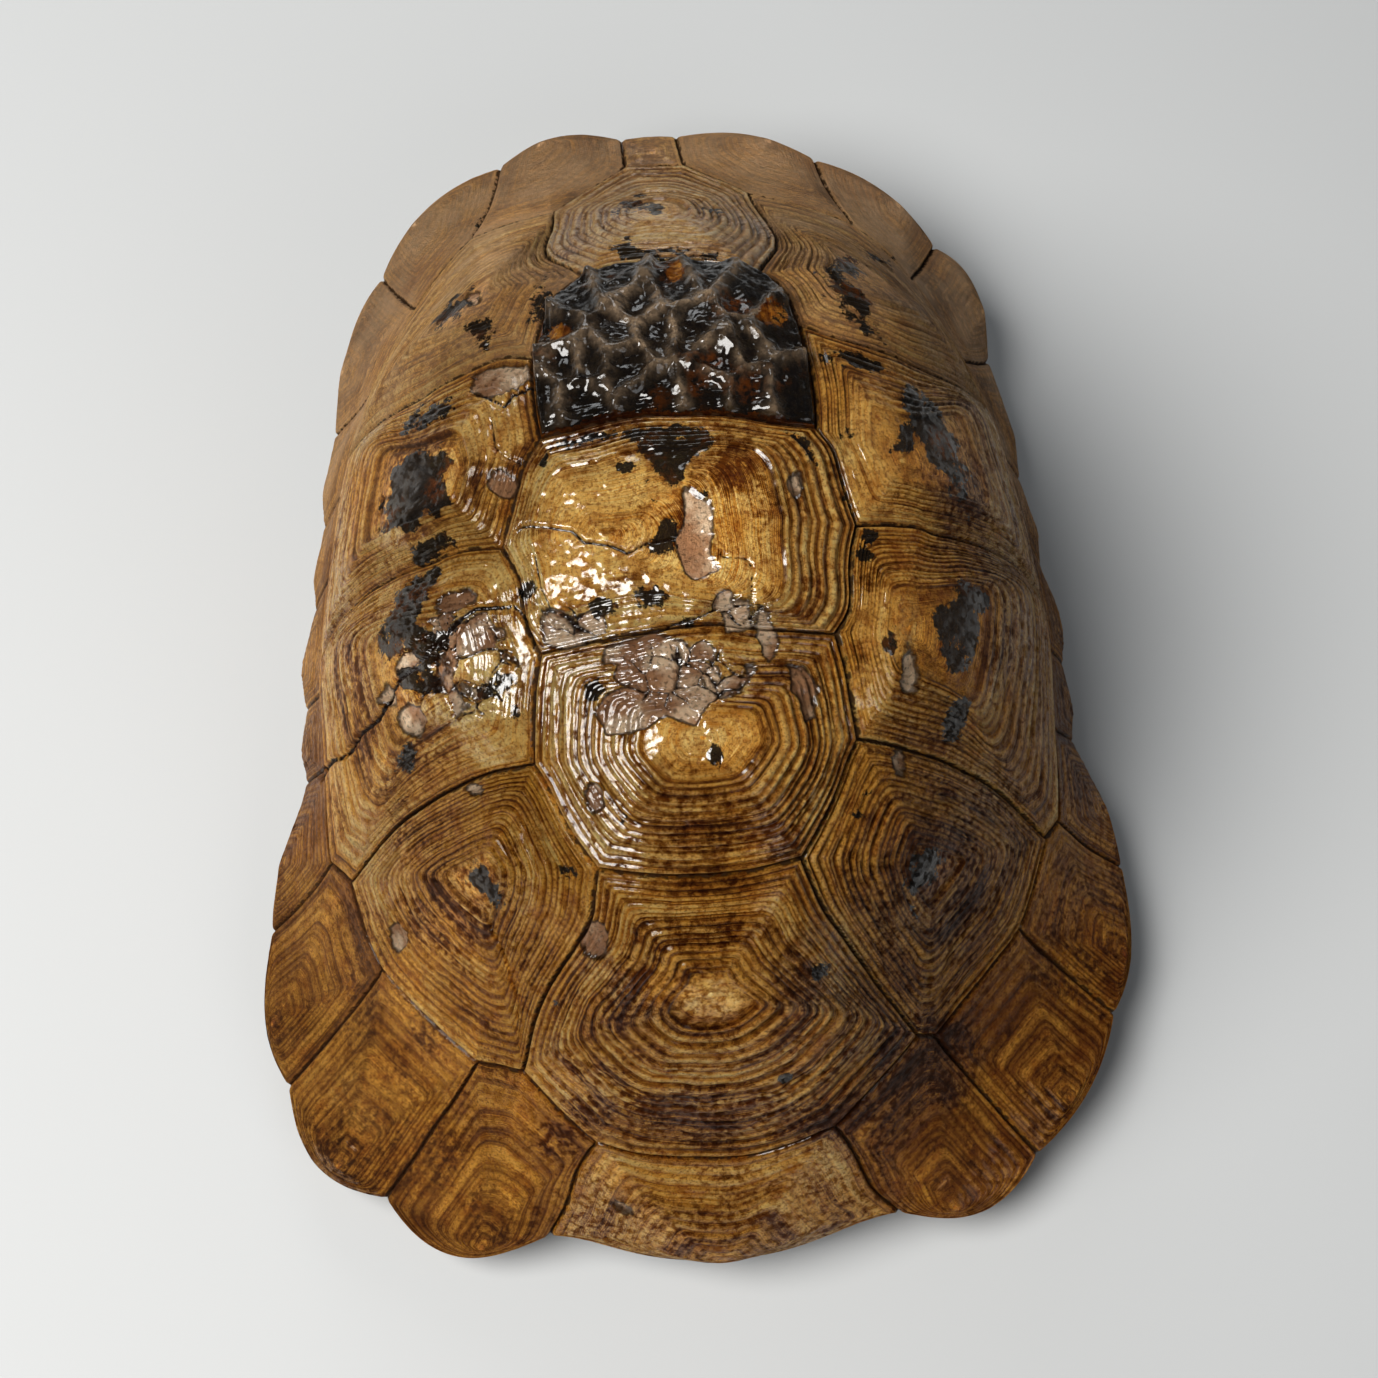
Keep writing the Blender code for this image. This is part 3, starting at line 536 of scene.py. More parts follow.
def spotField(pixels, spot):
    x, y, wide, high, tilt = spot
    angle = math.radians(tilt)
    dx, dy = pixels[:, 0] - x, pixels[:, 1] - y
    along = (dx * math.cos(angle) + dy * math.sin(angle)) / wide
    across = (dy * math.cos(angle) - dx * math.sin(angle)) / high
    return (1 - np.hypot(along, across)) * min(wide, high)


def lineGap(pixels, a, b):
    run = np.array(b, float) - a
    share = np.clip((pixels - a) @ run / (run @ run), 0, 1)
    return np.linalg.norm(pixels - a - share[:, None] * run, axis=1)


def patchField(pixels, corners):
    gap = np.full(len(pixels), 1e9)
    inside = np.zeros(len(pixels), bool)
    for a, b in zip(corners, corners[1:] + corners[:1]):
        gap = np.minimum(gap, lineGap(pixels, a, b))
        crosses = (a[1] > pixels[:, 1]) != (b[1] > pixels[:, 1])
        if a[1] != b[1]:
            inside ^= crosses & (pixels[:, 0] < (b[0] - a[0]) * (pixels[:, 1] - a[1]) / (b[1] - a[1]) + a[0])
    return np.where(inside, gap, -gap)


def markField(pixels, kind, reach=16.0):
    field = np.full(len(pixels), -reach)
    for spot in marks[kind]["spots"]:
        near = np.abs(pixels - spot[:2]).max(axis=1) < max(spot[2:4]) + reach
        if near.any():
            field[near] = np.maximum(field[near], spotField(pixels[near], spot))
    for corners in marks[kind]["patches"]:
        middle = np.mean(corners, axis=0)
        size = np.abs(np.array(corners) - middle).max()
        near = np.abs(pixels - middle).max(axis=1) < size + reach
        if near.any():
            field[near] = np.maximum(field[near], patchField(pixels[near], corners))
    return np.maximum(field, -reach)


def crackField(pixels, reach=8.0):
    field = np.full(len(pixels), -reach)
    for width, stops in cracks:
        for a, b in zip(stops, stops[1:]):
            middle = (np.array(a) + b) / 2
            near = np.abs(pixels - middle).max(axis=1) < np.abs(np.array(a) - b).max() / 2 + reach
            if near.any():
                field[near] = np.maximum(field[near], width - lineGap(pixels[near], a, b))
    return np.maximum(field, -reach)


def lumpCells(pixels):
    centres = np.array(lumpCentres, float)
    gaps = np.sort(np.linalg.norm(pixels[:, None, :] - centres[None], axis=2), axis=1)
    return gaps[:, 1] - gaps[:, 0]


# Meshes

class HornMesh:
    def __init__(self):
        self.points = []
        self.faces = []
        self.values = {}
        self.count = 0

    def add(self, points, **values):
        start = self.count
        self.points.append(points)
        self.count += len(points)
        for name in hornValues:
            value = values.get(name, hornValues[name])
            self.values.setdefault(name, []).append(np.broadcast_to(value, len(points)))
        return start

    def strips(self, start, rows, columns):
        row = np.arange(rows - 1)[:, None] * columns + start
        this = np.arange(columns)[None]
        after = (this + 1) % columns
        quads = np.stack((row + this, row + after, row + columns + after, row + columns + this), axis=-1)
        self.faces.extend(quads.reshape(-1, 4).tolist())

    def bridge(self, first, second, columns):
        this = np.arange(columns)
        after = (this + 1) % columns
        quads = np.stack((first + this, first + after, second + after, second + this), axis=-1)
        self.faces.extend(quads.tolist())

    def fan(self, start, middle, columns, inward=False):
        this = np.arange(columns)
        fan = np.stack((start + this, start + (this + 1) % columns, np.full(columns, middle)), axis=-1)
        self.faces.extend((fan[:, ::-1] if inward else fan).tolist())

    def build(self, name, material, slot, *nodes):
        mesh = bpy.data.meshes.new(name)
        mesh.from_pydata((np.vstack(self.points) * mm).tolist(), [], self.faces)
        for key, parts in self.values.items():
            layer = mesh.attributes.new(key, "FLOAT", "POINT")
            layer.data.foreach_set("value", np.concatenate(parts).astype(np.float32))
        mesh.materials.append(material)
        mesh.shade_smooth()
        piece = bpy.data.objects.new(name, mesh)
        bpy.context.scene.collection.objects.link(piece)
        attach(piece, "root")
        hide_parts(*nodes)
        print(name, len(self.faces), "faces")
        return piece


# What every vertex tells the materials, and its value where nothing is said
hornValues = {
    "growth": 0.0,
    "seamGap": 6.0,
    "char": -16.0,
    "flake": -16.0,
    "crack": -8.0,
    "gold": 0.5,
    "dull": 0.0,
    "stain": 0.0,
    "web": 0.0,
    "ringShow": 1.0,
}


def ringTable(growth, seed):
    random = np.random.default_rng(seed)
    count = growth["rings"]
    width = random.uniform(0.45, 1.55, count)
    climb = width * random.uniform(0.4, 1.6, count)
    stops = np.concatenate(((0,), np.cumsum(width))) / width.sum()
    heights = np.concatenate(((0,), np.cumsum(climb))) / climb.sum() * growth["lift"]
    depths = random.uniform(0.25, 1.0, count + 1)
    return stops, heights, depths


def warpDisk(disk):
    spot = np.column_stack((disk, np.zeros(len(disk)))) * 100
    fade = smoothStep(1.0 - np.hypot(disk[:, 0], disk[:, 1]), 0.0, 0.12)[:, None]
    drift = np.column_stack((cloudNoise(spot, 9.0, 3), cloudNoise(spot, 9.0, 4)))
    return disk + drift * horn["wander"] * fade


def readMarks(base, normal):
    pixels = photoPlace(base)
    wobble = np.column_stack((cloudNoise(base, 3.5, 11), cloudNoise(base, 3.5, 12)))
    eye = np.array(photoView["eye"]) - base
    eye /= np.linalg.norm(eye, axis=1)[:, None]
    seen = (normal * eye).sum(axis=1) > 0.12
    found = {kind: np.where(seen, markField(pixels + 3.0 * wobble, kind), -16.0) for kind in marks}
    found["crack"] = np.where(seen, crackField(pixels + 2.0 * wobble), -8.0)
    broken = shatterCells(pixels + 6.0 * wobble)
    found = {kind: np.maximum(field, np.where(seen, broken[kind], field)) for kind, field in found.items() if kind in broken} | {
        "dark": found["dark"], "drop": broken["drop"] * seen, "paintedGlare": broken["paintedGlare"] * seen}
    return pixels + 5.0 * wobble, found


def ringRelief(place, share, ring, u, show, growth, seed):
    stops, heights, depths = ringTable(growth, seed)
    size = growth["lift"] / 2.8
    step = heights[ring] + (heights[ring + 1] - heights[ring]) * smoothStep(share, 0.0, 0.4)
    height = u * growth["lift"]
    height = height + (step - height) * np.clip(show + 0.2, 0, 1)
    nearest = np.where(share < 0.5, ring, ring + 1)
    gash = depths[nearest] * np.exp(-((np.minimum(share, 1 - share) / 0.13) ** 2))
    return height + size * show * (horn["ridge"] * np.sin(np.pi * share) - horn["groove"] * gash)


def scuteRelief(base, normal, k, gap, ray, growth, seed, name, rimward):
    heart = growth["heart"]
    u = 1 - np.clip((k - heart) / (1 - heart), 0, 1)
    bend = 0.045 * cloudNoise(base, 17.0, seed) + 0.012 * cloudNoise(base, 5.0, seed + 3)
    u = np.clip(u + bend * np.sin(np.pi * u), 0, 1)
    stops = ringTable(growth, seed)[0]
    place = np.interp(u, stops, np.arange(len(stops)))
    ring = np.minimum(place.astype(int), growth["rings"] - 1)
    share = place - ring
    inside = np.clip((heart - k) / heart, 0, 1)

    pixels, found = readMarks(base, normal)
    char = np.minimum(found["char"], 6.5) + 9.5 * cloudNoise(base, 3.0, 21) - 1.0
    specks = cloudNoise(base, 5.0, 23, 2)
    char = np.maximum(char, (specks - 0.86) * 40.0)
    flake = found["flake"] + 5.5 * cloudNoise(base, 3.4, 25)
    crack = found["crack"]
    golden = smoothStep(found["gold"], -6.0, 6.0)
    streak = np.column_stack((base[:, 0], base[:, 1], 8.0 * place))
    stain = 0.80 * cloudNoise(streak, 11.0, 27) + 0.50 * cloudNoise(base, 15.0, 29)
    stain = stain + 0.6 * smoothStep(found["dark"], -9.0, 12.0) - 0.25 * golden
    stain = stain + growth.get("rays", 0.15) * latticeNoise(ray, 9.0, seed)

    show = (1 - smoothStep(inside, 0.0, 0.35)) * (1 - 0.7 * golden) * growth.get("show", 1.0)
    show = show * np.clip(1.0 + 0.6 * cloudNoise(base, 9.0, 31), 0.3, 1.4)
    height = ringRelief(place, share, ring, u, show, growth, seed)
    height = height + 0.24 * cloudNoise(base, 13.0, 41) * smoothStep(gap, 0, 5)
    rough = (0.35 + 0.6 * inside + 0.9 * golden) * smoothStep(gap, 0, 1.5)
    height = height + (0.19 * cloudNoise(base, 2.6, 43, 3) + 0.07 * cloudNoise(base, 1.1, 44, 1)) * rough
    web = np.zeros(len(base))
    if name == "vertebral2":
        fade = smoothStep(gap, 0.25, 1.5)
        web = np.exp(-((lumpCells(pixels) / 11.0) ** 2))
        lumps = web * (1.3 + 0.9 * cloudNoise(base, 4.0, 54)) - 0.95
        lumps = lumps + 1.25 * cloudNoise(base, 6.0, 51, 2) + 0.50 * cloudNoise(base, 2.2, 52, 3)
        height = height * (1 - 0.8 * fade) + fade * (lumps + 1.9)
        web = web * fade * np.clip(0.75 + 1.2 * cloudNoise(base, 3.2, 55), 0, 1)
        char = np.maximum(char, (fade - 0.30) * 12.0 + 5.0 * cloudNoise(base, 4.0, 53) - golden * 11)
    height = height + shatter["drop"] * found["drop"]
    bare = smoothStep(flake, -0.6, 1.2)
    height = height - bare * smoothStep(gap, 0.3, 2.5) * (0.55 - 0.45 * cloudNoise(base, 2.2, 55, 3))
    if name != "vertebral2":
        height = height + smoothStep(char, -1.0, 4.0) * 0.32 * cloudNoise(base, 1.6, 57, 2)
    height = height - 1.0 * smoothStep(crack, -1.6, 1.2)
    height = height - horn["seamDepth"] * np.exp(-((gap / horn["seamWidth"]) ** 2)) * (1 - rimward)
    # Painted highlight: the broken zone is made paler and more golden to stand in for glare; the same value also gives
    # it a really glossier coat
    tone = growth["gold"] + 0.26 * golden + 0.20 * cloudNoise(base, 16.0, 61) + 0.35 * found["paintedGlare"]
    # Painted light: a pale, matte wash that grows towards the head end and towards the left side, where the light falls
    # stronger
    haze = growth.get("haze", 0.0) * smoothStep(base[:, 1], -30.0, 90.0) + 0.14 * smoothStep(-base[:, 0], 20.0, 80.0)
    return np.maximum(height, -1.55), {
        "growth": place + 3.0 * inside + seed * 37.0,
        "seamGap": np.where(rimward > 0.5, 6.0, gap),
        "char": char,
        "flake": flake,
        "crack": crack,
        "stain": stain,
        "gold": np.clip(tone, 0, 1.4),
        "dull": np.clip(growth["dull"] + haze + 0.07 * cloudNoise(base, 25.0, 63), 0, 1),
        "web": web,
        "ringShow": np.clip(show, 0, 1.2),
    }


def roundSpokes(spokes, k):
    # The outermost ring follows the seam, the ones inside it have rounder corners
    waves = np.fft.fftfreq(len(spokes)) * len(spokes)
    soft = np.fft.ifft(np.fft.fft(spokes, axis=0) * np.exp(-((waves * horn["rounding"]) ** 2))[:, None], axis=0).real
    share = smoothStep(1 - k, 0.02, 0.40)[:, None, None]
    return spokes[None] * (1 - share) + soft[None] * share


def rowStops(width, step):
    # Rows close together by the seam, then one step apart up to the middle
    edge = np.array((0.0, 0.18, 0.36, 0.56, 0.80, 1.10))
    rest = np.linspace(1.10, width, max(5, math.ceil((width - 1.10) / step)), endpoint=False)[1:]
    return 1 - np.concatenate((edge, rest)) / width


def enclosed(outline):
    # Positive where the outline runs anticlockwise seen from above
    after = np.roll(outline, -1, axis=0)
    return 0.5 * (outline[:, 0] * after[:, 1] - after[:, 0] * outline[:, 1]).sum()


def addScute(piece, name, outline, centre, growth, seed, onRim=None):
    if enclosed(outline) < 0:
        outline = outline[::-1]
        onRim = None if onRim is None else onRim[::-1]
    outline = centre + (outline - centre) * horn["fit"]
    if growth.get("fine"):
        halfway = (outline + np.roll(outline, -1, axis=0)) / 2
        outline = np.stack((outline, halfway), axis=1).reshape(-1, 2)
    columns = len(outline)
    rim = np.zeros(columns) if onRim is None else onRim.astype(float)
    edge = domePoint(outline)
    spoke = edge - domePoint(centre[None])[0]
    along = np.roll(edge, -1, axis=0) - np.roll(edge, 1, axis=0)
    along /= np.linalg.norm(along, axis=1)[:, None]
    length = np.linalg.norm(spoke, axis=1)
    width = np.linalg.norm(spoke - (spoke * along).sum(axis=1)[:, None] * along, axis=1)
    stops = rowStops(length.mean(), growth.get("step", horn["rowStep"]))
    rows = len(stops)
    k = np.repeat(stops, columns)
    disk = centre + roundSpokes(outline - centre, stops).reshape(-1, 2) * k[:, None]
    disk = warpDisk(disk)
    base, normal = domePoint(disk), domeNormal(disk)
    gap = np.tile(width, rows) * (1 - k)
    rimward = np.tile(rim, rows)
    angle = np.arctan2(*(disk - centre).T)
    ray = np.column_stack((np.cos(angle) * 60, np.sin(angle) * 60, 2 * k))
    height, values = scuteRelief(base, normal, k, gap, ray, growth, seed, name, rimward)
    chip = 0.35 * cloudNoise(base, 5.0, 71) * rimward * (k > 0.999)
    start = piece.add(base + normal * (height + chip)[:, None], **values)
    piece.strips(start, rows, columns)
    last = start + (rows - 1) * columns
    middle = disk[-columns:].mean(axis=0)[None]
    crest = domePoint(middle) + domeNormal(middle) * height[-columns:].mean()
    top = piece.add(crest, **{key: value[-1] for key, value in values.items()})
    piece.fan(last, top, columns)

    outward = outline / np.linalg.norm(outline, axis=1)[:, None]
    flatEdge = disk[:columns]
    depth = horn["seamDepth"] + horn["thickness"]
    hidden = {"growth": seed * 37.0, "gold": growth["gold"], "dull": growth["dull"], "ringShow": 0.2}
    under = domePoint(flatEdge) - domeNormal(flatEdge) * depth
    lip = domePoint(flatEdge) - np.column_stack((0.8 * outward, np.full(columns, horn["rimLip"])))
    low = piece.add(np.where(rim[:, None] > 0.5, lip, under), **hidden)
    piece.bridge(low, start, columns)
    inner = centre + (flatEdge - centre) * 0.55
    deep = piece.add(domePoint(inner) - domeNormal(inner) * depth, **hidden)
    piece.bridge(deep, low, columns)
    bottom = piece.add(domePoint(centre[None]) - domeNormal(centre[None]) * depth, **hidden)
    piece.fan(deep, bottom, columns, inward=True)


def addMarginal(piece, number, side):
    names, first, last, swell = marginalRow[number]
    down = seamRun(junctionAt(names[-1], side), bendsBetween(names[-1], last, side), notchAt(last, side))
    up = seamRun(junctionAt(names[0], side), bendsBetween(names[0], first, side), notchAt(first, side))
    up = reverseRun(up, notchAt(first, side))
    rim = rimRun(notchAt(last, side), notchAt(first, side), swell[0 if side < 0 else 1])
    outline = np.vstack((*seamChain(names, side), down, rim, up))
    onRim = np.zeros(len(outline), bool)
    start = len(outline) - len(up) - len(rim)
    onRim[start + 1 : start + len(rim)] = True
    corner = rim[round(0.38 * len(rim))]
    head = 0.62 * junctionAt(names[-1], side) + 0.38 * junctionAt(names[0], side)
    addScute(piece, "marginal", outline, 0.93 * corner + 0.07 * head, marginalGrowth, 200 + number * 2 + side, onRim)
    return rim


def addNuchal(piece):
    right = seamRun(junctionAt("nuchalRear", 1), [], notchAt("nuchal", 1))
    left = seamRun(junctionAt("nuchalRear", -1), [], notchAt("nuchal", -1))
    rim = rimRun(notchAt("nuchal", 1), notchAt("nuchal", -1), nuchalGrowth["swell"])
    top = acrossRun("nuchalRear")
    outline = np.vstack((top, right, rim, reverseRun(left, notchAt("nuchal", -1))))
    onRim = np.zeros(len(outline), bool)
    start = len(top) + len(right)
    onRim[start + 1 : start + len(rim)] = True
    addScute(piece, "nuchal", outline, outline.mean(axis=0), nuchalGrowth, 301, onRim)
    return rim


def addTail(piece):
    top = reverseRun(acrossRun("v5Tail"), junctionAt("v5Tail", 1))
    left = seamRun(junctionAt("v5Tail", -1), bendsBetween("v5Tail", "tail", -1), notchAt("tail", -1))
    right = seamRun(junctionAt("v5Tail", 1), bendsBetween("v5Tail", "tail", 1), notchAt("tail", 1))
    rim = rimRun(notchAt("tail", -1), notchAt("tail", 1), tailGrowth["swell"], power=2)
    outline = np.vstack((top, left, rim, reverseRun(right, notchAt("tail", 1))))
    onRim = np.zeros(len(outline), bool)
    start = len(top) + len(left)
    onRim[start + 1 : start + len(rim)] = True
    addScute(piece, "tail", outline, onDisk(*tailGrowth["centre"]), tailGrowth, 302, onRim)
    return rim


# Materials

def newNode(tree, kind, values=(), **settings):
    node = tree.nodes.new(kind)
    for key, value in settings.items():
        setattr(node, key, value)
    for socket, value in dict(values).items():
        if isinstance(value, bpy.types.NodeSocket):
            tree.links.new(value, node.inputs[socket])
        else:
            node.inputs[socket].default_value = value
    return node


def maths(tree, operation, first, second=0.0, third=0.0):
    return newNode(tree, "ShaderNodeMath", {0: first, 1: second, 2: third}, operation=operation).outputs[0]


def spread(tree, value, low, high, outLow=0.0, outHigh=1.0):
    inputs = {"Value": value, "From Min": low, "From Max": high, "To Min": outLow, "To Max": outHigh}
    return newNode(tree, "ShaderNodeMapRange", inputs, interpolation_type="SMOOTHSTEP").outputs[0]


def tint(tree, share, first, second, blend="MIX"):
    node = newNode(tree, "ShaderNodeMix", {"Factor": share}, data_type="RGBA", blend_type=blend)
    for socket, value in zip((node.inputs[6], node.inputs[7]), (first, second)):
        if isinstance(value, bpy.types.NodeSocket):
            tree.links.new(value, socket)
        else:
            socket.default_value = (*value, 1.0)
    return node.outputs[2]


def attribute(tree, name):
    return newNode(tree, "ShaderNodeAttribute", attribute_name=name).outputs["Fac"]


def objectPlace(tree):
    return newNode(tree, "ShaderNodeTexCoord").outputs["Object"]


def noiseOf(tree, scale, detail=4.0, rough=0.55, vector=None, **more):
    inputs = {"Scale": scale, "Detail": detail, "Roughness": rough, "Vector": vector or objectPlace(tree), **more}
    kind = {"noise_dimensions": "4D"} if "W" in more else {}
    return newNode(tree, "ShaderNodeTexNoise", inputs, **kind).outputs[0]


def startGroup(name, inputs, outputs):
    tree = bpy.data.node_groups.new(name, "ShaderNodeTree")
    for socket, value in inputs.items():
        item = tree.interface.new_socket(socket, in_out="INPUT", socket_type="NodeSocketFloat")
        item.default_value = value
    for socket in outputs:
        tree.interface.new_socket(socket, in_out="OUTPUT", socket_type="NodeSocketFloat")
    return tree, tree.nodes.new("NodeGroupInput").outputs, tree.nodes.new("NodeGroupOutput").inputs


def placeGroup(tree, group, values):
    node = tree.nodes.new("ShaderNodeGroup")
    node.node_tree = group
    for socket, value in values.items():
        if isinstance(value, bpy.types.NodeSocket):
            tree.links.new(value, node.inputs[socket])
        else:
            node.inputs[socket].default_value = value
    return node.outputs


def ringGroup():
    # Bands that follow the growth rings: pale crests, dark grooves and hair-fine lines between them
    tree, given, out = startGroup("growthRings", {"Growth": 0.0, "Fine": 5.0}, ("Crest", "Tone", "Line"))
    wander = noiseOf(tree, 320.0, 3.0)
    growth = maths(tree, "MULTIPLY_ADD", wander, 0.22, given["Growth"])
    share = maths(tree, "FRACT", growth)
    rise = spread(tree, share, 0.08, 0.42)
    fall = spread(tree, share, 0.66, 0.96, 1.0, 0.0)
    tree.links.new(maths(tree, "MULTIPLY", rise, fall), out["Crest"])
    step = maths(tree, "FLOOR", growth)
    tone = newNode(tree, "ShaderNodeTexWhiteNoise", {"W": step}, noise_dimensions="1D").outputs["Value"]
    tree.links.new(tone, out["Tone"])
    fine = maths(tree, "MULTIPLY", given["Growth"], given["Fine"])
    line = noiseOf(tree, 60.0, 3.0, 0.6, W=fine)
    tree.links.new(spread(tree, line, 0.41, 0.59), out["Line"])
    return tree


def raggedGroup():
    # Turns a distance field into a mask with a torn edge
    tree, given, out = startGroup("raggedEdge", {"Field": 0.0, "Tear": 2.0, "Size": 900.0}, ("Mask", "Rim"))
    noise = noiseOf(tree, given["Size"], 6.0, 0.72)
    shift = maths(tree, "MULTIPLY", maths(tree, "SUBTRACT", noise, 0.5), given["Tear"])
    field = maths(tree, "ADD", given["Field"], shift)
    tree.links.new(spread(tree, field, -0.5, 0.7), out["Mask"])
    low = spread(tree, field, -2.2, -0.2)
    high = spread(tree, field, 0.6, 2.6, 1.0, 0.0)
    tree.links.new(maths(tree, "MULTIPLY", low, high), out["Rim"])
    return tree


def grainGroup():
    # Clouds, flecks and pits of old horn
    tree, given, out = startGroup("hornGrain", {"Size": 1.0}, ("Cloud", "Mottle", "Fleck", "Wrinkle", "Pit"))
    cloud = noiseOf(tree, maths(tree, "MULTIPLY", given["Size"], 70.0), 5.0)
    fleck = noiseOf(tree, maths(tree, "MULTIPLY", given["Size"], 700.0), 4.0, 0.6)
    pit = noiseOf(tree, maths(tree, "MULTIPLY", given["Size"], 1500.0), 2.0, 0.5)
    mottle = noiseOf(tree, maths(tree, "MULTIPLY", given["Size"], 270.0), 6.0, 0.68)
    wrinkle = noiseOf(tree, maths(tree, "MULTIPLY", given["Size"], 1700.0), 5.0, 0.70)
    tree.links.new(spread(tree, mottle, 0.44, 0.66), out["Mottle"])
    tree.links.new(spread(tree, wrinkle, 0.34, 0.66), out["Wrinkle"])
    tree.links.new(spread(tree, cloud, 0.32, 0.70), out["Cloud"])
    tree.links.new(spread(tree, fleck, 0.38, 0.64), out["Fleck"])
    tree.links.new(spread(tree, pit, 0.30, 0.48, 1.0, 0.0), out["Pit"])
    return tree


hornLook = {
    "deep": (0.042, 0.010, 0.0015),
    "brown": (0.320, 0.106, 0.012),
    "golden": (0.95, 0.49, 0.080),
    "bright": (1.00, 0.76, 0.30),
    "amber": (0.60, 0.36, 0.13),
    # Pale dust, also used for the painted light on the head end and the left side
    "dustAndLitPale": (0.74, 0.50, 0.30),
    "char": (0.004, 0.003, 0.002),
    "charGrey": (0.045, 0.035, 0.024),
    # Bare bone where the horn flaked off: its pale end is brighter than bone, a painted highlight as well as the bone's
    # colour
    "bone": (1.00, 0.76, 0.52),
    "boneRed": (0.50, 0.27, 0.14),
    "seam": (0.020, 0.007, 0.002),
    "seamPale": (0.16, 0.085, 0.045),
    "web": (0.40, 0.29, 0.19),
    "rust": (0.17, 0.050, 0.009),
    "roughness": 0.32,
    "shine": 0.08,
    "coatRoughness": 0.10,
}


def bandShade(tree, ring, grains, gold, show):
    # How pale the horn is: ring crests, hair lines, each ring's own tone, clouds and worn places
    shade = maths(tree, "MULTIPLY", maths(tree, "MULTIPLY", ring["Crest"], show), 0.46)
    shade = maths(tree, "MULTIPLY_ADD", ring["Line"], 0.50, shade)
    shade = maths(tree, "MULTIPLY_ADD", ring["Tone"], 0.40, shade)
    shade = maths(tree, "MULTIPLY_ADD", grains["Cloud"], 0.22, shade)
    shade = maths(tree, "MULTIPLY_ADD", maths(tree, "SUBTRACT", 1.0, show), 0.26, shade)
    shade = maths(tree, "MULTIPLY", shade, gold)
    dark = attribute(tree, "stain")
    dark = maths(tree, "MULTIPLY_ADD", maths(tree, "SUBTRACT", grains["Fleck"], 0.5), 0.60, dark)
    dark = maths(tree, "MULTIPLY_ADD", maths(tree, "SUBTRACT", ring["Line"], 0.5), -0.5, dark)
    dark = spread(tree, dark, -0.10, 0.85)
    return maths(tree, "MULTIPLY", shade, maths(tree, "MULTIPLY_ADD", dark, -0.76, 1.04))


def hornColour(tree, ring, grains, look, gold, show):
    shade = bandShade(tree, ring, grains, gold, show)
    colour = tint(tree, spread(tree, shade, 0.02, 0.40), look["deep"], look["brown"])
    colour = tint(tree, spread(tree, shade, 0.30, 0.74), colour, look["golden"])
    colour = tint(tree, spread(tree, shade, 0.74, 1.15), colour, look["bright"])
    colour = tint(tree, maths(tree, "MULTIPLY", grains["Mottle"], 0.62), colour, look["amber"], "MULTIPLY")
    colour = tint(tree, maths(tree, "MULTIPLY", grains["Fleck"], 0.22), colour, look["brown"], "MULTIPLY")
    colour = tint(tree, spread(tree, grains["Wrinkle"], 0.05, 0.50, 0.60, 0.0), colour, look["brown"], "MULTIPLY")
    # How much pale dust shows, including the painted light on the head end and the left side
    dustAndLitWash = maths(tree, "MULTIPLY", attribute(tree, "dull"), maths(tree, "MULTIPLY_ADD", grains["Cloud"], 0.4, 0.4))
    colour = tint(tree, dustAndLitWash, colour, look["dustAndLitPale"])
    gap = attribute(tree, "seamGap")
    gap = maths(tree, "MULTIPLY_ADD", maths(tree, "SUBTRACT", grains["Fleck"], 0.5), 0.5, gap)
    seam = spread(tree, gap, 0.08, 0.48, 1.0, 0.0)
    colour = tint(tree, maths(tree, "MULTIPLY", seam, 0.85), colour, look["seam"])
    return tint(tree, spread(tree, gap, -0.05, 0.20, 0.7, 0.0), colour, look["seamPale"])


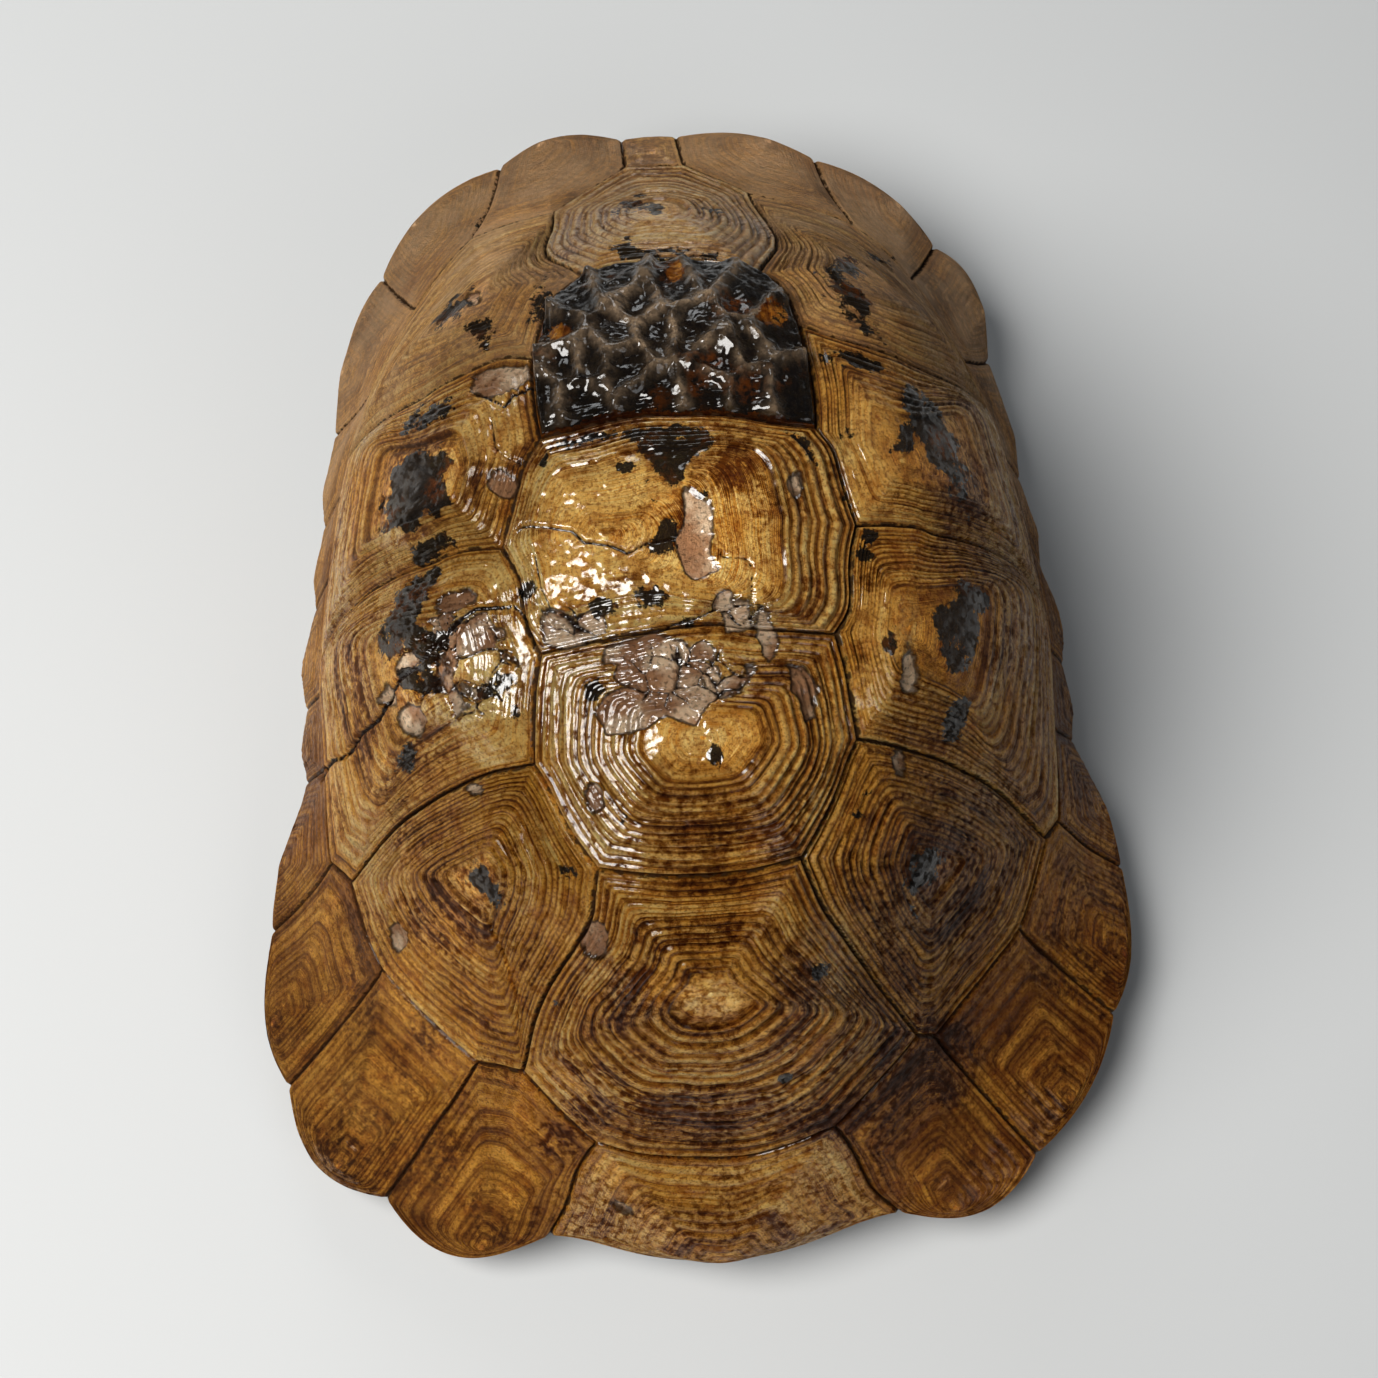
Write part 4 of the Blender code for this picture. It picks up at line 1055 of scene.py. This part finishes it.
def hornMaterial(name, rings, ragged, grain, look):
    material = bpy.data.materials.new(name)
    material.use_nodes = True
    tree = material.node_tree
    shader = tree.nodes["Principled BSDF"]
    ring = placeGroup(tree, rings, {"Growth": attribute(tree, "growth"), "Fine": 3.0})
    grains = placeGroup(tree, grain, {"Size": 1.0})
    char = placeGroup(tree, ragged, {"Field": attribute(tree, "char"), "Tear": 21.0, "Size": 1000.0})
    flake = placeGroup(tree, ragged, {"Field": attribute(tree, "flake"), "Tear": 5.0, "Size": 900.0})
    crack = placeGroup(tree, ragged, {"Field": attribute(tree, "crack"), "Tear": 2.4, "Size": 1300.0})
    show = attribute(tree, "ringShow")
    colour = hornColour(tree, ring, grains, look, attribute(tree, "gold"), show)

    # Bare bone in the flaked spots: bone colours, with the pale end also serving as a painted highlight
    bareBoneAndGlare = tint(tree, spread(tree, grains["Cloud"], 0.20, 0.62), look["boneRed"], look["bone"])
    bareBoneAndGlare = tint(tree, maths(tree, "MULTIPLY", grains["Fleck"], 0.28), bareBoneAndGlare, look["boneRed"])
    bareBoneAndGlare = tint(tree, maths(tree, "MULTIPLY", grains["Mottle"], 0.25), bareBoneAndGlare, look["boneRed"], "MULTIPLY")
    bareBoneAndGlare = tint(tree, maths(tree, "MULTIPLY", grains["Pit"], 0.5), bareBoneAndGlare, look["seam"])
    colour = tint(tree, flake["Mask"], colour, bareBoneAndGlare)
    # Dark rim round each flaked spot: partly the broken horn edge, partly painted shade where the surface steps down
    colour = tint(tree, maths(tree, "MULTIPLY", flake["Rim"], 0.75), colour, look["seam"])
    charShade = tint(tree, maths(tree, "MULTIPLY", grains["Fleck"], 0.50), look["char"], look["charGrey"])
    rusty = maths(tree, "MULTIPLY", spread(tree, grains["Cloud"], 0.55, 0.95), grains["Fleck"])
    charShade = tint(tree, rusty, charShade, look["rust"])
    webShare = maths(tree, "MULTIPLY", attribute(tree, "web"), maths(tree, "MULTIPLY_ADD", grains["Fleck"], 0.6, 0.5))
    charShade = tint(tree, webShare, charShade, look["web"])
    colour = tint(tree, maths(tree, "MULTIPLY", char["Mask"], 0.95), colour, charShade)
    colour = tint(tree, crack["Mask"], colour, look["seam"])
    tree.links.new(colour, shader.inputs["Base Color"])

    rough = maths(tree, "MULTIPLY_ADD", grains["Fleck"], 0.20, look["roughness"])
    rough = maths(tree, "MULTIPLY_ADD", grains["Cloud"], -0.12, rough)
    rough = maths(tree, "MULTIPLY_ADD", attribute(tree, "dull"), 0.25, rough)
    rough = maths(tree, "MULTIPLY_ADD", char["Mask"], -0.12, rough)
    tree.links.new(rough, shader.inputs["Roughness"])
    coat = spread(tree, attribute(tree, "gold"), 0.72, 1.20, 0.20, 1.0)
    coat = maths(tree, "MAXIMUM", coat, maths(tree, "MULTIPLY", char["Mask"], 0.75))
    coat = maths(tree, "MULTIPLY_ADD", attribute(tree, "dull"), -0.7, coat)
    coat = maths(tree, "MULTIPLY", coat, spread(tree, grains["Fleck"], 1.05, 0.25))
    tree.links.new(maths(tree, "MAXIMUM", coat, 0.0), shader.inputs["Coat Weight"])
    shader.inputs["Coat Roughness"].default_value = look["coatRoughness"]
    shader.inputs["Coat IOR"].default_value = 1.72
    shader.inputs["IOR"].default_value = 1.5
    shader.inputs["Specular IOR Level"].default_value = look["shine"]

    height = maths(tree, "MULTIPLY", ring["Line"], maths(tree, "MULTIPLY_ADD", show, 0.8, 0.3))
    height = maths(tree, "MULTIPLY_ADD", maths(tree, "MULTIPLY", ring["Crest"], show), 0.9, height)
    height = maths(tree, "MULTIPLY_ADD", grains["Fleck"], 0.6, height)
    height = maths(tree, "MULTIPLY_ADD", grains["Pit"], -0.35, height)
    height = maths(tree, "MULTIPLY_ADD", grains["Wrinkle"], 0.75, height)
    height = maths(tree, "MULTIPLY_ADD", grains["Mottle"], -0.60, height)
    height = maths(tree, "MULTIPLY_ADD", flake["Mask"], -1.0, height)
    height = maths(tree, "MULTIPLY_ADD", char["Mask"], 0.5, height)
    bump = newNode(tree, "ShaderNodeBump", {"Height": height, "Strength": 1.0, "Distance": 0.00036})
    tree.links.new(bump.outputs[0], shader.inputs["Normal"])
    return material


# Bone under the scutes: a thin closed dome whose lower edge turns in to meet the belly plate
boneForm = {
    "outerReaches": (0.0, 0.10, 0.22, 0.34, 0.46, 0.58, 0.70, 0.80, 0.88, 0.94, 0.975),
    "innerReaches": (0.90, 0.86, 0.82, 0.76, 0.70, 0.62, 0.54, 0.46, 0.38, 0.30, 0.22, 0.15, 0.08),
    "cover": 2.15,
    "wall": 4.6,
    "bridge": (59.0, 101.0),
    "bridgeEase": 10.0,
    "bridgeInset": 5.5,
    "bridgeBand": 6.0,
    "bridgeHeight": 10.0,
}


def bridgeShare(bearing):
    start, end = boneForm["bridge"]
    ease = boneForm["bridgeEase"]
    into = smoothStep(bearing, start - ease, start)
    out = 1 - smoothStep(bearing, end, end + ease)
    return (into * out)[:, None]


def addBone(piece, rim):
    columns = len(rim)
    outward = rim / np.linalg.norm(rim, axis=1)[:, None]
    bearing = np.degrees(np.arctan2(rim[:, 0], rim[:, 1]))
    edge = domePoint(rim)
    share = bridgeShare(np.abs(bearing))
    crown = np.array(domeForm["crown"])[:2]
    plan = np.linalg.norm(edge[:, :2] - crown, axis=1)[:, None]

    def seat(inset):
        return np.hstack((crown + outward * (plan - inset), np.full_like(plan, boneForm["bridgeHeight"])))

    def offset(disk, depth):
        return domePoint(disk) - domeNormal(disk) * depth

    lip = edge - np.hstack((outward * 1.6, np.full_like(plan, horn["rimLip"] - 0.1)))
    nearRim = offset(outward * 0.955, boneForm["wall"])
    under = offset(outward * 0.90, boneForm["wall"])
    loops = [offset(outward * reach, boneForm["cover"]) for reach in boneForm["outerReaches"][1:]]
    skirt = [1.0] * len(loops)
    lower = [lip, nearRim + (seat(boneForm["bridgeInset"]) - nearRim) * share,
             under + (seat(boneForm["bridgeInset"] + boneForm["bridgeBand"]) - under) * share]
    blend = np.linspace(0, 1, 5)[1:, None, None]
    finer = [lower[0]]
    for a, b in zip(lower, lower[1:]):
        finer += list(a[None] + (b - a)[None] * blend)
    loops += finer
    skirt += list(np.linspace(1.0, 0.55, len(finer)))
    for reach in boneForm["innerReaches"][1:]:
        loops.append(offset(outward * reach, boneForm["wall"]))
        skirt.append(0.0 if reach < 0.80 else 0.3)
    points = np.vstack(loops)
    shift = cloudNoise(points, 6.0, 81)[:, None] * 0.18
    inner = np.repeat(np.array(skirt) < 0.99, columns)[:, None]
    facing = np.vstack([domeNormal(outward * 0.9)] * len(loops))
    points = points + np.where(inner, shift, 0.0) * facing
    start = piece.add(points, seamGap=6.0, growth=points[:, 2] * 0.8, gold=0.55,
                      ringShow=np.repeat(skirt, columns))
    rows = len(loops)
    grid = piece.faces
    row = np.arange(rows - 1)[:, None] * columns + start
    this = np.arange(columns)[None]
    after = (this + 1) % columns
    quads = np.stack((row + this, row + after, row + columns + after, row + columns + this), axis=-1)
    grid.extend(quads[..., ::-1].reshape(-1, 4).tolist())
    top = piece.add(offset(np.array(((0.0, 0.0001),)), boneForm["cover"]), gold=0.55)
    low = piece.add(offset(np.array(((0.0, 0.0001),)), boneForm["wall"]), gold=0.55, ringShow=0.0)
    ring = np.arange(columns)
    first = np.stack((start + ring, start + (ring + 1) % columns, np.full(columns, top)), axis=-1)
    lastStart = start + (rows - 1) * columns
    last = np.stack((lastStart + (ring + 1) % columns, lastStart + ring, np.full(columns, low)), axis=-1)
    grid.extend(first.tolist())
    grid.extend(last.tolist())


boneLook = {
    "pale": (0.60, 0.49, 0.34),
    "stain": (0.30, 0.19, 0.10),
    "horn": (0.34, 0.18, 0.06),
    "roughness": 0.62,
}


def boneMaterial(name, rings, grain, look):
    material = bpy.data.materials.new(name)
    material.use_nodes = True
    tree = material.node_tree
    shader = tree.nodes["Principled BSDF"]
    grains = placeGroup(tree, grain, {"Size": 0.8})
    skirt = attribute(tree, "ringShow")
    lines = placeGroup(tree, rings, {"Growth": attribute(tree, "growth"), "Fine": 2.0})
    colour = tint(tree, grains["Cloud"], look["stain"], look["pale"])
    colour = tint(tree, maths(tree, "MULTIPLY", grains["Fleck"], 0.35), colour, look["stain"])
    hornShare = spread(tree, maths(tree, "MULTIPLY_ADD", grains["Cloud"], 0.15, skirt), 0.50, 0.72)
    hornColour = tint(tree, lines["Line"], look["stain"], look["horn"])
    colour = tint(tree, hornShare, colour, hornColour)
    tree.links.new(colour, shader.inputs["Base Color"])
    rough = maths(tree, "MULTIPLY_ADD", grains["Fleck"], 0.2, look["roughness"])
    rough = maths(tree, "MULTIPLY_ADD", hornShare, -0.25, rough)
    tree.links.new(rough, shader.inputs["Roughness"])
    height = maths(tree, "MULTIPLY_ADD", grains["Pit"], -0.8, grains["Fleck"])
    bump = newNode(tree, "ShaderNodeBump", {"Height": height, "Strength": 0.6, "Distance": 0.0003})
    tree.links.new(bump.outputs[0], shader.inputs["Normal"])
    return material


# The belly plate: outline and seam points on the right, as X and Y from the middle of the shell
bellyForm = {
    "midline": (99.0, 77.0, 46.0, 36.0, -34.0, -60.0, -80.0),
    "edge": ((25.0, 92.0), (46.0, 52.0), (70.5, 33.0), (47.0, -35.0), (38.5, -64.0)),
    "border": (
        ((7.0, 100.0), (18.0, 98.5)),
        ((34.0, 80.0), (41.0, 66.0)),
        ((56.0, 47.0), (67.0, 41.0)),
        ((71.5, 18.0), (73.0, 0.0), (73.5, -20.0), (67.0, -29.0), (55.0, -33.0)),
        ((43.5, -46.0), (42.0, -56.0)),
        ((33.0, -78.0), (22.0, -89.0), (12.0, -91.0), (4.0, -84.0)),
    ),
    "step": 1.4,
    "rowStep": 1.1,
    "rings": 12,
    "seam": 0.8,
    "relief": 0.35,
    "thickness": 5.4,
    "hornThickness": 1.2,
    "wingStart": 50.0,
    "wingRise": 5.0,
    "wingTop": (52.0, 65.0),
    "lobeStart": 76.0,
    "lobeRise": 4.0,
    "seat": 9.7,
}


def bellyUnder(plan):
    wing = np.clip((np.abs(plan[:, 0]) - bellyForm["wingStart"]) / 22, 0, 1.1)
    lobe = np.clip((plan[:, 1] - bellyForm["lobeStart"]) / 24, 0, 1.1)
    return bellyForm["wingRise"] * wing**2 + bellyForm["lobeRise"] * lobe**2


def bellyTop(plan):
    wing = smoothStep(np.abs(plan[:, 0]), *bellyForm["wingTop"])
    lobe = np.clip((plan[:, 1] - bellyForm["lobeStart"]) / 24, 0, 1.1)
    return bellyForm["thickness"] + (bellyForm["seat"] - bellyForm["thickness"]) * wing + bellyForm["lobeRise"] * lobe**2


def planRun(start, middle, end):
    stops = np.array([start, *middle, end], float)
    return smoothPath(stops, runCount(stops, bellyForm["step"]))


def bellyOutline(row, side):
    edge, border = bellyForm["edge"], bellyForm["border"][row]
    head, tail = (0.0, bellyForm["midline"][row]), (0.0, bellyForm["midline"][row + 1])
    if row == 0:
        runs = [planRun(head, border, edge[0]), planRun(edge[0], (), tail)]
        free = (0,)
    elif row == len(edge):
        runs = [planRun(head, (), edge[-1]), planRun(edge[-1], border, tail)]
        free = (1,)
    else:
        runs = [planRun(head, (), edge[row - 1]), planRun(edge[row - 1], border, edge[row]), planRun(edge[row], (), tail)]
        free = (1,)
    runs.append(planRun(tail, (), head))
    onEdge = np.concatenate([np.full(len(run), i in free) for i, run in enumerate(runs)])
    return np.vstack(runs) * (side, 1.0), onEdge


def addBellyScute(piece, row, side):
    outline, onEdge = bellyOutline(row, side)
    if enclosed(outline) > 0:
        outline, onEdge = outline[::-1], onEdge[::-1]
    columns = len(outline)
    centre = outline.mean(axis=0) * (0.72, 1.0)
    outline = centre + (outline - centre) * horn["fit"]
    spoke = outline - centre
    along = np.roll(outline, -1, axis=0) - np.roll(outline, 1, axis=0)
    along /= np.linalg.norm(along, axis=1)[:, None]
    width = np.abs(spoke[:, 0] * along[:, 1] - spoke[:, 1] * along[:, 0])
    rows = max(8, math.ceil(np.linalg.norm(spoke, axis=1).mean() / bellyForm["rowStep"]))
    k = np.repeat(1 - np.arange(rows) / rows, columns)
    plan = centre + np.tile(spoke, (rows, 1)) * k[:, None]
    gap = np.tile(width, rows) * (1 - k)
    free = np.tile(onEdge, rows)
    flat = np.column_stack((plan, np.zeros(len(plan))))
    growth = bellyForm["rings"] * np.clip((1 - k) / 0.8, 0, 1) + 0.3 * cloudNoise(flat, 14.0, row)
    share = growth - np.floor(growth)
    rise = bellyForm["relief"] * (0.5 + 0.5 * cloudNoise(flat, 9.0, 91)) * 0.5
    rise = rise + 0.16 * np.exp(-((np.minimum(share, 1 - share) / 0.16) ** 2))
    seamCut = bellyForm["seam"] * np.exp(-((gap / 0.7) ** 2)) * (~free)
    rounding = 1.1 * np.exp(-gap / 1.0) * free
    low = bellyUnder(plan) + np.clip(rise, 0, 1) + seamCut + rounding
    seed = 400 + row * 2 + side
    dark = smoothStep(cloudNoise(flat, 26.0, 93) + 0.6 * (1 - k) - 0.2, 0.0, 0.5)
    start = piece.add(np.column_stack((plan, low)), growth=growth + seed, seamGap=np.where(free, 6.0, gap),
                      gold=1.05 - 0.25 * k, char=-6 + 10 * dark - 4 * (k > 0.8), ringShow=0.7, dull=0.15)
    piece.strips(start, rows, columns)
    last = start + (rows - 1) * columns
    middle = piece.add(np.array(((*centre, low[-columns:].mean()),)), growth=growth[-1] + seed, gold=0.9, char=2.0)
    piece.fan(last, middle, columns)
    top = np.column_stack((outline, bellyUnder(outline) + bellyForm["hornThickness"] + rounding[:columns] * 0.3 + 0.2))
    roof = piece.add(top, gold=0.8, growth=seed, ringShow=0.2)
    piece.bridge(roof, start, columns)
    cap = piece.add(np.array(((*centre, bellyUnder(centre[None])[0] + bellyForm["hornThickness"]),)), gold=0.8)
    piece.fan(roof, cap, columns, inward=True)


def bellyBorder():
    stops = ((0.0, bellyForm["midline"][0]), *bellyForm["edge"], (0.0, bellyForm["midline"][-1]))
    right = [planRun(a, middle, b) for a, middle, b in zip(stops, bellyForm["border"], stops[1:])]
    left = [reverseRun(run, np.array(end)) for run, end in zip(right, stops[1:])]
    return np.vstack((*right, np.vstack(left[::-1]) * (-1.0, 1.0)))


def addBellyBone(piece):
    border = bellyBorder()
    if enclosed(border) < 0:
        border = border[::-1]
    columns = len(border)
    middle = np.array((0.0, 4.0))
    shares = np.concatenate((np.linspace(1.0, 0.9, 6), np.linspace(0.86, 0.05, 26)))
    loops = []
    for share in shares:
        inset = middle + (border - middle) * share * 0.992
        lift = bellyTop(inset) - 0.8 * np.exp(-(1 - share) * 60)
        loops.append(np.column_stack((inset, lift)))
    points = np.vstack(loops)
    points[:, 2] += 0.15 * cloudNoise(points, 5.0, 95) * (points[:, 2] < 9.0)
    start = piece.add(points, gold=0.6, ringShow=0.0)
    piece.strips(start, len(loops), columns)
    crest = piece.add(np.array(((*middle, bellyForm["thickness"]),)), ringShow=0.0)
    piece.fan(start + (len(loops) - 1) * columns, crest, columns)
    inset = middle + (border - middle) * 0.985
    lower = piece.add(np.column_stack((inset, bellyUnder(inset) + bellyForm["hornThickness"] + 0.25)), ringShow=0.0)
    piece.bridge(lower, start, columns)
    inner = middle + (border - middle) * 0.5
    deep = piece.add(np.column_stack((inner, bellyUnder(inner) + bellyForm["hornThickness"] + 0.25)), ringShow=0.0)
    piece.bridge(deep, lower, columns)
    base = piece.add(np.array(((*middle, bellyForm["hornThickness"] + 0.25),)), ringShow=0.0)
    piece.fan(deep, base, columns, inward=True)


bellyLook = {
    **hornLook,
    "deep": (0.16, 0.085, 0.030),
    "brown": (0.33, 0.19, 0.070),
    "golden": (0.56, 0.37, 0.150),
    "bright": (0.66, 0.46, 0.21),
    "amber": (0.80, 0.62, 0.42),
    "char": (0.035, 0.026, 0.018),
    "charGrey": (0.10, 0.075, 0.05),
    "roughness": 0.42,
}


# Stage, lights and camera

stageLook = {
    "floor": (0.455, 0.465, 0.470),
    "floorHalf": 2.5,
    "world": (0.90, 0.95, 1.0),
    "worldStrength": 0.08,
    "keyPlace": (-0.58, -0.16, 1.0),
    "keySize": 0.82,
    "keyPower": 18.8,
    "fillPlace": (0.55, -0.90, 0.75),
    "fillSize": 0.8,
    "fillPower": 2.5,
    "backPlace": (-0.15, 1.10, 0.62),
    "backSize": 0.6,
    "backPower": 2.6,
}


def makeFloor():
    half = stageLook["floorHalf"]
    mesh = bpy.data.meshes.new("floor")
    mesh.from_pydata([(-half, -half, 0), (half, -half, 0), (half, half, 0), (-half, half, 0)], [], [(0, 1, 2, 3)])
    material = bpy.data.materials.new("paleFloor")
    material.use_nodes = True
    shader = material.node_tree.nodes["Principled BSDF"]
    shader.inputs["Base Color"].default_value = (*stageLook["floor"], 1.0)
    shader.inputs["Roughness"].default_value = 0.7
    mesh.materials.append(material)
    floor = bpy.data.objects.new("floor", mesh)
    bpy.context.scene.collection.objects.link(floor)


def makeLight(name, place, size, power, colour):
    light = bpy.data.lights.new(name, "AREA")
    light.shape = "DISK"
    light.size = size
    light.energy = power
    light.color = colour
    lamp = bpy.data.objects.new(name, light)
    lamp.location = place
    lamp.rotation_euler = (Vector((0, 0, 0.06)) - Vector(place)).to_track_quat("-Z", "Y").to_euler()
    bpy.context.scene.collection.objects.link(lamp)


def makeCamera():
    look, right, up = viewAxes()
    camera = bpy.data.cameras.new("camera")
    camera.sensor_width = 36.0
    camera.lens = photoView["focal"] / photoView["pixels"] * camera.sensor_width
    camera.clip_start = 0.01
    camera.clip_end = 20.0
    thing = bpy.data.objects.new("camera", camera)
    matrix = Matrix((right, up, -look)).transposed().to_4x4()
    matrix.translation = Vector(photoView["eye"]) * mm
    thing.matrix_world = matrix
    bpy.context.scene.collection.objects.link(thing)
    bpy.context.scene.camera = thing


def makeWorld():
    world = bpy.data.worlds.new("softRoom")
    world.use_nodes = True
    back = world.node_tree.nodes["Background"]
    back.inputs["Color"].default_value = (*stageLook["world"], 1.0)
    back.inputs["Strength"].default_value = stageLook["worldStrength"]
    bpy.context.scene.world = world
    bpy.context.scene.view_settings.view_transform = "Standard"
    bpy.context.scene.view_settings.look = "Medium High Contrast"


rings, ragged, grain = ringGroup(), raggedGroup(), grainGroup()
hornSkin = hornMaterial("varnishedHorn", rings, ragged, grain, hornLook)
bellySkin = hornMaterial("bellyHorn", rings, ragged, grain, bellyLook)
boneSkin = boneMaterial("dryBone", rings, grain, boneLook)

for number in range(1, 6):
    scute = HornMesh()
    growth = scuteGrowth[f"vertebral{number}"]
    addScute(scute, f"vertebral{number}", vertebralOutline(growth["seams"]), onDisk(*growth["centre"][0]),
             growth, number)
    scute.build(f"vertebral_scute_{number}", hornSkin, "varnished_horn", "carapace")
print("vertebral scutes made")

for side, word in ((-1, "left"), (1, "right")):
    costals = HornMesh()
    for number in range(1, 5):
        growth = scuteGrowth[f"costal{number}"]
        bearing, reach = growth["centre"][0 if side < 0 else 1]
        addScute(costals, f"costal{number}", largeOutline(growth["seams"], side), onDisk(side * bearing, reach),
                 growth, 10 + number * 2 + side)
    costals.build(f"costal_scutes_{word}", hornSkin, "varnished_horn", "carapace")
print("costal scutes made")

rims = {}
for side, word in ((-1, "left"), (1, "right")):
    marginals = HornMesh()
    for number in range(len(marginalRow)):
        rims[side, number] = addMarginal(marginals, number, side)
    if side < 0:
        nuchalRim = addNuchal(marginals)
    else:
        tailRim = addTail(marginals)
    marginals.build(f"marginal_scutes_{word}", hornSkin, "varnished_horn", "carapace")
print("marginal scutes made")

rightRims = [rims[1, number] for number in reversed(range(len(marginalRow)))]
leftRims = [reverseRun(rims[-1, number], notchAt(row[1], -1)) for number, row in enumerate(marginalRow)]
bone = HornMesh()
addBone(bone, np.vstack((*rightRims, nuchalRim, *leftRims, tailRim)))
bone.build("carapace_bone", boneSkin, "dry_bone", "carapace")
print("bone of the dome made")

belly = HornMesh()
for row in range(len(bellyForm["border"])):
    for side in (-1, 1):
        addBellyScute(belly, row, side)
belly.build("plastron_scutes", bellySkin, "belly_horn", "plastron")
bellyBone = HornMesh()
addBellyBone(bellyBone)
bellyBone.build("plastron_bone", boneSkin, "dry_bone", "plastron")
print("belly plate made")

makeFloor()
makeLight("windowLight", stageLook["keyPlace"], stageLook["keySize"], stageLook["keyPower"], (1.0, 0.98, 0.95))
makeLight("roomLight", stageLook["fillPlace"], stageLook["fillSize"], stageLook["fillPower"], (0.95, 0.97, 1.0))
makeLight("doorLight", stageLook["backPlace"], stageLook["backSize"], stageLook["backPower"], (0.95, 0.98, 1.0))
makeWorld()
makeCamera()
print("stage, lights and camera set")
